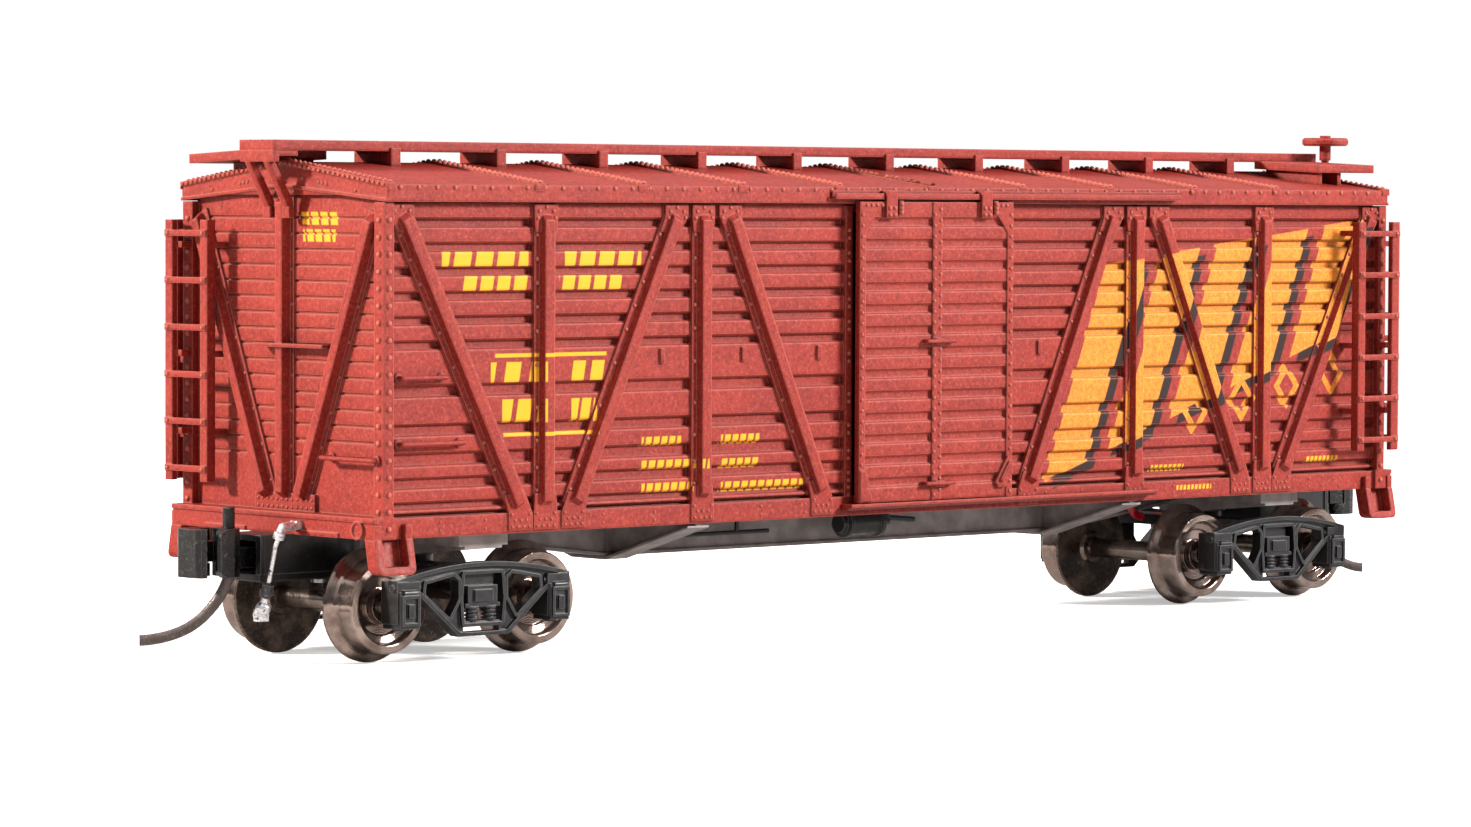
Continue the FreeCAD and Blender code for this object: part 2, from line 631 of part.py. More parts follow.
def side_grab_irons():
    """Two hand holds beside the corner of the right side at the A end, and the same diagonally opposite."""
    face, reach = -BOARD_Y, -BOARD_Y - 0.52
    holds = []
    for start, end, level in ((-39.05, -34.85, 11.45), (-39.05, -36.10, 14.95)):
        holds.append(grab_iron(V(start, face, level), V(start, reach, level),
                               V(end, reach, level), V(end, face, level)))
    return holds + [half_turn(hold) for hold in holds]


def end_grab_irons():
    """One hand hold low on each end, on the side away from the ladder."""
    reach, level = -CORNER_X - 0.36, 10.62
    outer_y, inner_y = -8.35, -3.95
    hold = grab_iron(V(-CORNER_X, outer_y, level), V(reach, outer_y, level),
                     V(reach, inner_y, level), V(-END_WALL_X, inner_y, level))
    return [hold, half_turn(hold)]


def stirrup_step():
    """Moulded step hung below the right side sill at the A end, leaning out towards its foot.

    A rounded U of strap with a thin panel closing the back of its opening."""
    thick, width, lean, panel = 0.42, 0.92, 0.38, 0.16
    top_z, foot_z = SILL_Z, 4.60
    outer_x, inner_x = -END_SILL_X, -38.40
    outer_y = -9.00

    def rounded_foot(inset, radius):
        """The U's outline moved inwards, as a block with its two lower corners rounded."""
        solid = block(outer_x + inset, inner_x - inset, -11, -7, foot_z + inset, top_z + 2 * inset)
        along_y = [edge for edge in solid.Edges if edge.BoundBox.YLength > 1]
        return solid.makeFillet(radius, [edge for edge in along_y if edge.BoundBox.ZMax < top_z])

    def leaning_slab(front, back):
        """A slab between two depths behind the leaning front face of the step."""
        slope = [(outer_y - lean, foot_z), (outer_y, top_z)]
        outline = [(y + front, z) for y, z in slope] + [(y + back, z) for y, z in reversed(slope)]
        return prism(outline, "x", outer_x, inner_x)

    step = rounded_foot(0, 0.40).common(leaning_slab(0, width))
    opening = rounded_foot(thick, 0.16).common(leaning_slab(0, width - panel))
    pieces = [step.cut(opening)]
    for x, face_y in ((outer_x, CORNER_Y), (inner_x - thick, SILL_Y)):
        pieces.append(block(x, x + thick, -face_y, outer_y + 0.05, top_z, top_z + 0.78))
    return joined(pieces)


# ---------------------------------------------------------------- underframe and brake gear

def underframe():
    """Floor, centre sill, body bolsters with centre plates, and crossbearers, as one moulding."""
    inside_x = END_WALL_X - WALL_THICKNESS - GAP
    inside_y = JOINT_Y - WALL_THICKNESS - GAP
    under = SILL_Z + 0.02
    tip_z = SILL_Z - 0.02
    inside_top = under + 0.1
    taper_x = CROSSBEARER_X + CROSSBEARER_FLANGE_W / 2
    keel = [(-CENTRE_SILL_X, CENTRE_SILL_TIP_Z), (-taper_x, CENTRE_SILL_Z)]
    keel += [(taper_x, CENTRE_SILL_Z), (CENTRE_SILL_X, CENTRE_SILL_TIP_Z)]
    sill = keel + [(CENTRE_SILL_X, inside_top), (-CENTRE_SILL_X, inside_top)]
    flange = keel + [(x, z + CENTRE_SILL_FLANGE) for x, z in reversed(keel)]
    pieces = [
        block(-inside_x, inside_x, -inside_y, inside_y, under, FLOOR_TOP_Z),
        prism(sill, "y", -CENTRE_SILL_Y, CENTRE_SILL_Y),
        prism(flange, "y", -CENTRE_SILL_Y - 0.25, CENTRE_SILL_Y + 0.25),
    ]
    for sign in (-1, 1):
        x = sign * CROSSBEARER_X
        web = [(-7.5, tip_z), (-8.4, tip_z), (-8.4, 6.20), (-1.45, 4.08), (1.45, 4.08), (8.4, 6.20)]
        web += [(8.4, tip_z), (7.5, tip_z), (7.5, inside_top), (-7.5, inside_top)]
        pieces.append(prism(web, "x", x - CROSSBEARER_WEB_W / 2, x + CROSSBEARER_WEB_W / 2))
        foot = [(-8.4, 6.20), (-8.4, 6.32), (-1.45, 4.24), (1.45, 4.24), (8.4, 6.32), (8.4, 6.20)]
        foot += [(1.45, 4.08), (-1.45, 4.08)]
        pieces.append(prism(foot, "x", x - CROSSBEARER_FLANGE_W / 2, x + CROSSBEARER_FLANGE_W / 2))
        pad_y = CENTRE_SILL_Y + 0.16
        pieces.append(block(x - 0.62, x + 0.62, -pad_y, pad_y, 4.10, inside_top))
        x = sign * TRUCK_CENTRES / 2
        pieces.append(block(x - BOLSTER_HALF_X, x + BOLSTER_HALF_X, -7.30, 7.30, 5.75, inside_top))
        arm = [(-7.30, 5.60), (-2.20, 5.10), (2.20, 5.10), (7.30, 5.60), (7.30, 6.2), (-7.30, 6.2)]
        pieces.append(prism(arm, "x", x - BOLSTER_HALF_X + 0.4, x + BOLSTER_HALF_X - 0.4))
        pieces.append(rod(V(x, 0, CENTRE_PLATE_Z), V(x, 0, inside_top), CENTRE_PLATE_R))
        end_x = sign * (CENTRE_SILL_X - 0.1)
        pieces.append(block(end_x, sign * 38.9, -1.75, 1.75, BOX_TOP_Z, inside_top))
    frame = joined(pieces)
    for sign in (-1, 1):
        x = sign * TRUCK_CENTRES / 2
        frame = frame.cut(rod(V(x, 0, 4), V(x, 0, 6.90), KINGPIN_R))
        screw_x = sign * (BOX_BACK_X + 0.80)
        frame = frame.cut(rod(V(screw_x, 0, 4), V(screw_x, 0, 6.95), 0.40))
    return frame


def weight():
    """Steel ballast plate on the floor."""
    plate = block(-28, 28, -6.6, 6.6, FLOOR_TOP_Z, FLOOR_TOP_Z + 1.4)
    return plate.makeChamfer(0.25, [edge for edge in plate.Edges if edge.BoundBox.ZLength > 1])


def kingpin_screws():
    """Shouldered screw through each truck bolster into the underframe."""
    screws = []
    for sign in (-1, 1):
        x = sign * TRUCK_CENTRES / 2
        shank = rod(V(x, 0, 3.50), V(x, 0, 6.85), KINGPIN_R)
        head = turned([(0, 3.20), (1.15, 3.20), (1.45, 3.40), (1.45, 3.90), (0, 3.90)], V(x, 0, 0), UP)
        slot = block(x - 1.6, x + 1.6, -0.16, 0.16, 3.10, 3.48)
        screws.append(joined([shank, head]).cut(slot))
    return screws


def brake_cylinder():
    """Brake cylinder with its heads and push rod guide, under the right side of the floor."""
    y, z = -3.30, 5.58
    profile = [(0, -1.75), (0.55, -1.75), (0.62, -1.45), (0.86, -1.40), (0.86, -1.18), (0.72, -1.12)]
    profile += [(0.72, 1.12), (0.86, 1.18), (0.86, 1.40), (0.40, 1.46), (0.22, 2.30), (0, 2.30)]
    tank = turned(profile, V(-0.2, y, z), V(1, 0, 0))
    foot = block(-0.9, 0.5, y - 0.35, y + 0.35, z + 0.4, SILL_Z + 0.02)
    return joined([tank, foot])


def air_reservoir():
    """Two-chamber air tank under the left side of the floor."""
    y, z = 3.60, 5.46
    profile = [(0, -2.9), (0.60, -2.8), (0.84, -2.5), (0.84, -0.14), (0.98, -0.14)]
    profile += [(0.98, 0.14), (0.84, 0.14), (0.84, 2.5), (0.60, 2.8), (0, 2.9)]
    tank = turned(profile, V(10.4, y, z), V(1, 0, 0))
    straps = [block(x - 0.18, x + 0.18, y - 0.6, y + 0.6, z, SILL_Z + 0.02) for x in (8.8, 12.0)]
    return joined([tank] + straps)


def control_valve():
    """Triple valve with its bolted covers, hung beside the centre sill."""
    y, z = 3.40, 5.60
    core = block(-1.9, -0.7, y - 0.55, y + 0.55, z - 0.55, SILL_Z + 0.02)
    caps = [
        rod(V(-2.4, y, z), V(-0.2, y, z), 0.46),
        rod(V(-1.3, y - 0.95, z - 0.05), V(-1.3, y + 0.95, z - 0.05), 0.36),
        rod(V(-2.15, y, z), V(-2.05, y, z), 0.58),
        rod(V(-0.55, y, z), V(-0.45, y, z), 0.58),
    ]
    return joined([core] + caps)


def brake_rods():
    """Train pipe run beside the centre sill, with its elbow, and the brake lever rod."""
    rods = [
        bent_wire([V(3.10, -2.20, SILL_Z + 0.02), V(3.10, -2.20, 5.70), V(5.30, -2.20, 5.50)], 0.16),
        rod(V(6.55, 2.25, 5.30), V(16.9, 2.25, 5.30), 0.13),
        rod(V(-16.9, -2.25, 5.30), V(-6.55, -2.25, 5.30), 0.13),
    ]
    hangers = [block(x - 0.1, x + 0.1, y - 0.1, y + 0.1, 5.30, SILL_Z + 0.02)
               for x, y in ((9.0, 2.25), (15.0, 2.25), (-9.0, -2.25), (-15.0, -2.25))]
    return [rods[0], joined([rods[1]] + hangers[:2]), joined([rods[2]] + hangers[2:])]


def air_hose():
    """Hose and its bracket on the A end, beside the coupler."""
    bracket = [
        block(-END_SILL_X, -41.30, -2.75, -2.20, 6.75, 7.20),
        bent_wire([V(-41.2, -2.5, 6.95), V(-42.2, -2.72, 6.90), V(-42.5, -2.80, 6.45)], 0.25),
        rod(V(-42.48, -2.85, 6.65), V(-42.52, -2.75, 6.30), 0.31),
    ]
    hose = bent_wire([V(-42.5, -2.80, 6.45), V(-42.6, -2.62, 5.9), V(-42.66, -2.06, 3.75)], 0.125)
    fitting = [
        rod(V(-42.66, -2.08, 3.85), V(-42.70, -1.86, 3.15), 0.30),
        block(-42.95, -42.40, -2.20, -1.70, 3.25, 3.60),
    ]
    return joined(bracket + [hose] + fitting)


def glad_hand():
    """Hose coupling head at the end of the A end hose."""
    centre = V(-42.74, -1.70, 2.55)
    body = Part.makeSphere(0.40, centre)
    neck = rod(V(-42.70, -1.84, 3.12), centre, 0.20)
    jaw = block(-43.05, -42.40, -1.78, -1.28, 1.85, 2.50)
    lip = rod(V(-43.12, -1.52, 2.22), V(-42.34, -1.52, 2.22), 0.22)
    return joined([body, neck, jaw, lip]).cut(air_hose())


def brake_wheel():
    """Hand brake wheel, flat on top of its staff, with a deep rounded rim and six spokes."""
    centre = V(BRAKE_X, BRAKE_Y, BRAKE_Z)
    outer, inner, half = BRAKE_WHEEL_R, BRAKE_WHEEL_R - BRAKE_RIM_W, BRAKE_RIM_H / 2
    round_off = 0.12
    rim = [(inner, -half + round_off), (inner + round_off, -half), (outer - round_off, -half)]
    rim += [(outer, -half + round_off), (outer, half - round_off), (outer - round_off, half)]
    rim += [(inner + round_off, half), (inner, half - round_off)]
    hub = [(STAFF_R, -0.20), (0.42, -0.20), (0.42, 0.16), (0.32, 0.26), (STAFF_R, 0.26)]
    pieces = [turned(rim, centre, UP), turned(hub, centre, UP)]
    for spoke in range(6):
        angle = math.radians(60 * spoke)
        direction = V(math.cos(angle), math.sin(angle), 0)
        pieces.append(rod(centre + direction * 0.34, centre + direction * (inner + 0.10), 0.11))
    return joined(pieces)


def brake_staff():
    """Vertical staff under the wheel, with the nut on top and the chain drum at its foot."""

    def ring(low, high, radius):
        return rod(V(BRAKE_X, BRAKE_Y, low), V(BRAKE_X, BRAKE_Y, high), radius)

    foot = STAFF_FOOT_Z
    return joined([
        ring(foot, BRAKE_Z + 0.26, STAFF_R),
        ring(BRAKE_Z + 0.26, BRAKE_Z + 0.40, 0.34),
        ring(27.10, BRAKE_Z - 0.20, 0.36),
        ring(foot, foot + 0.32, 0.44),
        ring(foot + 0.85, foot + 1.11, 0.66),
    ])


def brake_brackets():
    """Roof-level bearing and lower step that carry the brake staff off the B end."""
    bearings = []
    gable_face, ledge_face = ROOF_HALF_X - 0.10, END_SILL_X + LEDGE_OVERHANG
    for level, wall in ((UPPER_BEARING_Z, gable_face), (LOWER_BEARING_Z, ledge_face)):
        low, high = level - 0.14, level + 0.13
        arm = block(wall, BRAKE_X, BRAKE_Y - 0.32, BRAKE_Y + 0.32, low, high)
        eye = rod(V(BRAKE_X, BRAKE_Y, low), V(BRAKE_X, BRAKE_Y, high), 0.52)
        hole = rod(V(BRAKE_X, BRAKE_Y, low - 1), V(BRAKE_X, BRAKE_Y, high + 1), STAFF_R + 0.04)
        bearings.append(joined([arm, eye]).cut(hole))
    return bearings


def pickup_lead():
    """Short insulated lead from the floor to its solder joint beside the B end truck."""
    path = [V(24.2, -1.9, SILL_Z + 0.02), V(24.2, -1.9, 6.0), V(24.5, -1.95, 5.3), V(25.3, -2.0, 4.9)]
    return curved_wire(path, 0.26)


# ---------------------------------------------------------------- trucks

def face_y(outline, y):
    """Flat face in the plane across Y from (x, z) points."""
    points = [V(x, y, z) for x, z in outline]
    return Part.Face(Part.makePolygon(points + points[:1]))


def truck_side():
    """Cast side frame facing -Y, about a truck centre at x = 0."""
    half_length, crown_z, rise, steps = 6.05, 4.90, 0.78, 12
    spots = [half_length * (2 * step / steps - 1) for step in range(steps + 1)]
    outline = [(x, crown_z - rise * (x / half_length) ** 2) for x in spots]
    outline += [(half_length, 3.55), (4.55, 3.30), (1.72, 0.92), (-1.72, 0.92), (-4.55, 3.30)]
    outline += [(-half_length, 3.55)]
    side_window = [(-4.02, 3.30), (-3.95, 3.86), (-2.05, 4.20), (-1.72, 3.95), (-1.72, 2.95), (-2.35, 1.98)]
    middle_window = [(-1.30, 1.62), (-1.42, 2.95), (-1.30, 4.25), (1.30, 4.25), (1.42, 2.95), (1.30, 1.62)]
    slot = [(-1.25, 1.14), (-1.25, 1.40), (1.25, 1.40), (1.25, 1.14)]
    back, web, rim = -6.62, -7.12, -7.38
    windows = [side_window, [(-x, z) for x, z in side_window], middle_window]
    plate = prism(outline, "y", back, web)
    face = face_y(outline, web)
    raised = face.cut(face.makeOffset2D(-0.24)).extrude(V(0, rim - web, 0))
    pieces = [plate, raised]
    for window in windows:
        edge = face_y(window, web)
        wider = edge.makeOffset2D(0.18)
        pieces.append(wider.cut(edge).common(face).extrude(V(0, rim - web + 0.06, 0)))
    frame = joined(pieces)
    for window in windows + [slot]:
        frame = frame.cut(prism(window, "y", back + 1, rim - 1))
    return frame


def journal_box(x):
    """Journal box facing -Y, with its rimmed lid, lid boss, hinge and the boss under the box."""
    low, high = 1.52, 4.05
    lid = block(x - 0.60, x + 0.60, -7.40, -7.68, low + 0.18, high - 0.72)
    lid = lid.cut(block(x - 0.44, x + 0.44, -7.56, -7.70, low + 0.34, high - 0.90))
    return [
        block(x - 0.78, x + 0.78, -6.05, -7.42, low + 0.25, high),
        block(x - 0.66, x + 0.66, -6.05, -7.52, low, high - 0.55),
        lid,
        block(x - 0.20, x + 0.20, -7.50, -7.72, low + 0.60, high - 1.20),
        rod(V(x - 0.46, -7.52, high - 0.60), V(x + 0.46, -7.52, high - 0.60), 0.16),
        rod(V(x - 0.92, -7.10, high - 0.35), V(x + 0.92, -7.10, high - 0.35), 0.20),
        rod(V(x, -6.70, low - 0.12), V(x, -6.70, low + 0.20), 0.34),
    ]


def spring_group():
    """Bolster end and the coil springs below it, seen in the middle window of a side frame."""
    pieces = [
        block(-1.02, 1.02, -6.2, -7.26, 2.62, 3.62),
        block(-0.62, 0.62, -7.2, -7.40, 2.78, 3.40),
        block(-1.35, 1.35, -6.62, -7.20, 1.55, 1.72),
        block(-1.20, 1.20, -6.62, -7.26, 2.46, 2.66),
    ]
    for x in (-0.62, 0.62):
        pieces.append(rod(V(x, -6.98, 1.60), V(x, -6.98, 2.60), 0.28))
        for coil in range(4):
            level = 1.78 + coil * 0.20
            pieces.append(rod(V(x, -6.98, level), V(x, -6.98, level + 0.10), 0.42))
    return pieces


def truck_frame(sign):
    """One truck frame: two side frames, journal boxes, spring groups, bolster and spring plank."""
    side = [truck_side()] + spring_group()
    for x in (-WHEELBASE / 2, WHEELBASE / 2):
        side += journal_box(x)
    one_side = joined(side)
    bolster = [
        block(-1.02, 1.02, -6.7, 6.7, 3.95, 4.60),
        block(-1.02, 1.02, -6.9, -6.3, 2.70, 4.60),
        block(-1.02, 1.02, 6.3, 6.9, 2.70, 4.60),
        rod(V(0, 0, 3.95), V(0, 0, CENTRE_PLATE_Z - 0.02), 1.90),
    ]
    frame = joined([one_side, mirrored(one_side, V(0, 1, 0))] + bolster)
    frame = frame.cut(rod(V(0, 0, 3), V(0, 0, 6), KINGPIN_R + 0.05))
    for x in (-WHEELBASE / 2, WHEELBASE / 2):
        reach = JOURNAL_END_Y + 0.05
        frame = frame.cut(rod(V(x, -reach, TREAD_R), V(x, reach, TREAD_R), JOURNAL_R + 0.04))
    frame.translate(V(sign * TRUCK_CENTRES / 2, 0, 0))
    return frame


def axle(x):
    """Turned axle with a thicker middle, wheel seats and end journals."""
    half = [(AXLE_R, 0), (AXLE_R, 3.3), (AXLE_R + 0.06, 3.5), (AXLE_R + 0.06, WHEEL_INNER_Y - 0.25)]
    half += [(WHEEL_SEAT_R, WHEEL_INNER_Y - 0.25), (WHEEL_SEAT_R, 5.60), (JOURNAL_R, 5.72)]
    half += [(JOURNAL_R, JOURNAL_END_Y - 0.20), (0, JOURNAL_END_Y)]
    profile = half + [(radius, -y) for radius, y in reversed(half[1:])]
    return turned(profile, V(x, 0, TREAD_R), V(0, 1, 0))


def wheels(x):
    """The two flanged wheels of one axle, with a raised rim and a dished plate outside."""
    inner, outer = WHEEL_INNER_Y, WHEEL_OUTER_Y
    profile = [
        (WHEEL_SEAT_R, inner - 0.25), (0.92, inner - 0.25), (1.05, inner), (FLANGE_R - 0.10, inner),
        (FLANGE_R, inner + 0.10), (FLANGE_R, inner + 0.26),
        (FLANGE_R - 0.10, inner + 0.38), (TREAD_R + 0.10, inner + 0.56), (TREAD_R + 0.02, inner + 0.72),
        (TREAD_R, inner + 0.90), (TREAD_R - 0.06, outer - 0.10), (TREAD_R - 0.14, outer),
        (2.12, outer), (2.04, outer - 0.10), (1.98, outer - 0.42), (1.62, outer - 0.50),
        (1.54, outer - 0.70), (1.00, outer - 0.74), (0.88, outer - 0.34), (WHEEL_SEAT_R, outer - 0.34),
    ]
    wheel = turned(profile, V(x, 0, TREAD_R), V(0, 1, 0))
    return [wheel, mirrored(wheel, V(0, 1, 0))]


# ---------------------------------------------------------------- couplers, drawn at the B end

def coupler_box():
    """Open-bottomed draft gear box with the pivot post and the spring pocket."""
    low, inner_y, inner_z = BOX_BOTTOM_Z, BOX_HALF_Y - BOX_WALL, BOX_TOP_Z - BOX_WALL
    outer = block(BOX_BACK_X, BOX_FRONT_X, -BOX_HALF_Y, BOX_HALF_Y, low, BOX_TOP_Z)
    cavity = block(BOX_BACK_X + 2.10, BOX_FRONT_X + 1, -inner_y, inner_y, low - 1, inner_z)
    pocket = block(BOX_BACK_X + 1.60, BOX_BACK_X + 2.2, -0.60, 0.60, low - 1, inner_z)
    post = rod(V(PIVOT_X, 0, BOX_BOTTOM_Z), V(PIVOT_X, 0, BOX_TOP_Z), PIVOT_R)
    hole = rod(V(BOX_BACK_X + 0.80, 0, 0), V(BOX_BACK_X + 0.80, 0, 10), 0.44)
    band_y = BOX_HALF_Y + 0.10
    band = block(BOX_FRONT_X - 0.30, BOX_FRONT_X, -band_y, band_y, low, BOX_TOP_Z)
    return joined([outer.cut(cavity).cut(pocket).fuse(band.cut(cavity)), post]).cut(hole)


def coupler_box_lid():
    """Flat cover under the draft gear box."""
    lid = block(BOX_BACK_X, BOX_FRONT_X, -BOX_HALF_Y, BOX_HALF_Y, LID_Z, BOX_BOTTOM_Z)
    rim_y = BOX_HALF_Y - 0.45
    rim = block(BOX_BACK_X + 1.5, BOX_FRONT_X - 0.5, -rim_y, rim_y, LID_Z - 0.10, LID_Z)
    hole = rod(V(BOX_BACK_X + 0.80, 0, 0), V(BOX_BACK_X + 0.80, 0, 10), 0.44)
    return joined([lid, rim]).cut(hole)


def coupler_screw():
    """Screw that holds the box and its lid to the underframe."""
    x = BOX_BACK_X + 0.80
    shank = rod(V(x, 0, LID_Z - 0.1), V(x, 0, 6.90), 0.40)
    head = rod(V(x, 0, LID_Z - 0.38), V(x, 0, LID_Z), 0.68)
    slot = block(x - 0.8, x + 0.8, -0.09, 0.09, LID_Z - 0.5, LID_Z - 0.22)
    return joined([shank, head]).cut(slot)


def coupler_spring():
    """Coil spring behind the coupler eye."""
    wire_r, coil_r = 0.13, 0.42
    start, length = BOX_BACK_X + 1.76, 1.30
    helix = Part.makeHelix(length / 3.5, length, coil_r)
    ring = Part.Wire(Part.makeCircle(wire_r, V(coil_r, 0, 0), V(0, 1, 0)))
    spring = Part.Wire(helix.Edges).makePipeShell([ring], True, True)
    spring.Placement = FreeCAD.Placement(V(start, 0, 5.20), FreeCAD.Rotation(UP, V(1, 0, 0)))
    return spring


def rounded_head():
    """Envelope of the coupler head: its front upper and lower corners are rounded."""
    low, high = HEAD_Z
    front, radius, steps = 45.45, 0.60, 6
    turns = [math.pi / 2 * step / steps for step in range(steps + 1)]
    corner = [(front - radius + radius * math.sin(turn), radius * (1 - math.cos(turn))) for turn in turns]
    outline = [(43.0, high)] + [(x, high - drop) for x, drop in corner]
    outline += [(x, low + drop) for x, drop in reversed(corner)] + [(43.0, low)]
    return prism(outline, "y", -3, 3)


def coupler():
    """Shank with its pivot eye, the head with its guard arm, and the knuckle lug."""
    low, high = SHANK_Z
    eye = rod(V(PIVOT_X, 0, low), V(PIVOT_X, 0, high), 0.78)
    shank = block(PIVOT_X, 43.95, -SHANK_HALF_Y, SHANK_HALF_Y, low, high)
    head = [(43.60, -0.66), (43.60, 0.72), (43.95, 1.28), (44.50, 1.52), (45.35, 1.50), (45.45, 1.32)]
    head += [(45.35, 1.02), (44.85, 0.86), (44.55, 0.45), (44.38, -0.10), (44.34, -0.66)]
    pivot = V(KNUCKLE_X, KNUCKLE_Y, 0)
    lug_low, lug_high = LUG_Z
    lug = rod(pivot + UP * lug_low, pivot + UP * lug_high, 0.46)
    neck = block(43.90, KNUCKLE_X - 0.02, KNUCKLE_Y - 0.40, KNUCKLE_Y + 0.34, lug_low, lug_high)
    shape = joined([eye, shank, prism(head, "z", *HEAD_Z).common(rounded_head()), lug, neck])
    shape = shape.cut(rod(V(PIVOT_X, 0, 0), V(PIVOT_X, 0, 10), PIVOT_R + 0.04))
    shape = shape.cut(rod(pivot, pivot + UP * 10, 0.24))
    return shape.cut(rod(V(44.02, 0.38, 0), V(44.02, 0.38, 10), TRIP_R + 0.01))


def knuckle():
    """Hooked knuckle with the trunnion that turns in the coupler's lug."""
    low, high = HEAD_Z
    pivot = V(KNUCKLE_X, KNUCKLE_Y, 0)
    hook = [(44.95, -1.35), (45.70, -1.32), (46.24, -1.16), (46.42, -0.86), (46.42, 0.62), (46.24, 0.94)]
    hook += [(45.92, 1.00), (45.76, 0.84), (45.74, 0.10), (45.62, -0.26), (45.36, -0.40), (44.95, -0.36)]
    lobe = rod(pivot + UP * low, pivot + UP * high, 0.50)
    shape = joined([prism(hook, "z", low, high), lobe])
    shape = shape.cut(rod(pivot + UP * (LUG_Z[0] - GAP), pivot + UP * (LUG_Z[1] + GAP), 0.54))
    return joined([shape, rod(pivot + UP * low, pivot + UP * high, 0.20)])


def trip_pin(tip):
    """Curved magnetic trip wire out to its tip, with the head that stands above the coupler."""
    x, y = 44.02, 0.38
    root = V(x, y, 4.30)
    top = rod(V(x, y, HEAD_Z[1]), V(x, y, 7.95), 0.33)
    stem = rod(V(x, y, 4.0), V(x, y, HEAD_Z[1]), TRIP_R)

    def sweep(share, height):
        """A point at a share of the way out to the tip and a share of the drop still to go."""
        return V(x + (tip.x - x) * share, y + (tip.y - y) * share, tip.z + (root.z - tip.z) * height)

    curve = [root, sweep(0.01, 0.95), sweep(0.17, 0.54), sweep(0.42, 0.22), sweep(0.70, 0.06), tip]
    return joined([top, stem, curved_wire(curve, TRIP_R)])


# ---------------------------------------------------------------- all nodes

def build():
    os.makedirs("parts", exist_ok=True)
    saved("body_shell", [body_shell()])
    saved("roof", [roof()])
    saved("running_board", [running_board()])
    saved("running_board_saddles", saddles())
    saved("door_right", [door()])
    saved("door_left", [half_turn(door())])
    saved("door_track_right", [door_track()])
    saved("door_track_left", [half_turn(door_track())])
    saved("door_guide_right", [door_guide()])
    saved("door_guide_left", [half_turn(door_guide())])
    saved("side_grab_irons", side_grab_irons())
    saved("end_grab_irons", end_grab_irons())
    saved("stirrup_steps", both_ends_and_sides(stirrup_step()))
    saved("underframe", [underframe()])
    saved("steel_weight", [weight()])
    saved("kingpin_screws", kingpin_screws())
    saved("brake_cylinder", [brake_cylinder()])
    saved("air_reservoir", [air_reservoir()])
    saved("control_valve", [control_valve()])
    saved("brake_rods", brake_rods())
    saved("pickup_lead", [pickup_lead()])
    saved("brake_wheel", [brake_wheel()])
    saved("brake_staff", [brake_staff()])
    saved("brake_staff_brackets", brake_brackets())
    saved("air_hoses", [air_hose(), half_turn(air_hose())])
    saved("glad_hands", [glad_hand(), half_turn(glad_hand())])
    at_b_end = {
        "lateral_board": lateral_board(),
        "side_ladder": side_ladder(),
        "end_ladder": end_ladder(),
        "running_board_bracket": half_turn(running_board_bracket()),
        "coupler_box": coupler_box(),
        "coupler_box_lid": coupler_box_lid(),
        "coupler": coupler(),
        "knuckle": knuckle(),
    }
    for name, shape in at_b_end.items():
        saved(name + "_b", [shape])
        saved(name + "_a", [half_turn(shape)])
    saved("trip_pin_a", [half_turn(trip_pin(V(47.85, -2.40, 0.84)))])
    saved("trip_pin_b", [trip_pin(V(46.40, -1.85, 0.78))])
    saved("coupler_springs", [coupler_spring(), half_turn(coupler_spring())])
    saved("coupler_screws", [coupler_screw(), half_turn(coupler_screw())])
    number = 0
    for letter, sign in (("a", -1), ("b", 1)):
        saved("truck_frame_" + letter, [truck_frame(sign)])
        for offset in (-WHEELBASE / 2, WHEELBASE / 2):
            number += 1
            x = sign * TRUCK_CENTRES / 2 + offset
            saved("axle_" + str(number), [axle(x)])
            saved("wheels_" + str(number), wheels(x))


build()
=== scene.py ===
import json
import math

import bpy
from mathutils import Matrix, Vector
from mathutils.bvhtree import BVHTree


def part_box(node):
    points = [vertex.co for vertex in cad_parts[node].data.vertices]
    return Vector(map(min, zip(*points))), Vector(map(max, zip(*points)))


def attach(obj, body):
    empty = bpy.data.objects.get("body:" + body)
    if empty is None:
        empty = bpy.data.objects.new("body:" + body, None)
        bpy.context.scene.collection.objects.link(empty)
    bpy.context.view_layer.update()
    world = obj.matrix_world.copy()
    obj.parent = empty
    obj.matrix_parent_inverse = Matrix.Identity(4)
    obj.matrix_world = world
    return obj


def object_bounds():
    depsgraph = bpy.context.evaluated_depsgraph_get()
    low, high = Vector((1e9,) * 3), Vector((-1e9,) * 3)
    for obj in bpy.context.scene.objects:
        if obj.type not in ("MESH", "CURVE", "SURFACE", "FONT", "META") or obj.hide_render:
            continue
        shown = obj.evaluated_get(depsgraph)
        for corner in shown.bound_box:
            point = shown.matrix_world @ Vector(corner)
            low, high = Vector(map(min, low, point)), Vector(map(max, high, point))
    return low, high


# Looks for a 1:160 outside-braced railway stock car.  Lengths are millimetres, and MM turns them
# into the frame's metres; only the floor and the lights are in metres.  +X is the hand-brake end,
# -Y the right side.
# The two sides, and the two ends, match each other after half a turn about the car's middle.
MM = 0.001

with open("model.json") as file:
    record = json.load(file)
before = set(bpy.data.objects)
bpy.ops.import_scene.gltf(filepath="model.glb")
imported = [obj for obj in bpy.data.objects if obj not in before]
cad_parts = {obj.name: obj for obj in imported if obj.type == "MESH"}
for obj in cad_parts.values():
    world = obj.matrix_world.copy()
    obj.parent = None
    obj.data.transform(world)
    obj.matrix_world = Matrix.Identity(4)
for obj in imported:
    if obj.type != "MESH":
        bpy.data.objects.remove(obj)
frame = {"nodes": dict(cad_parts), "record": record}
cad_low, cad_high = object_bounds()
nodes = frame["nodes"]

# ---------------------------------------------------------------- node materials


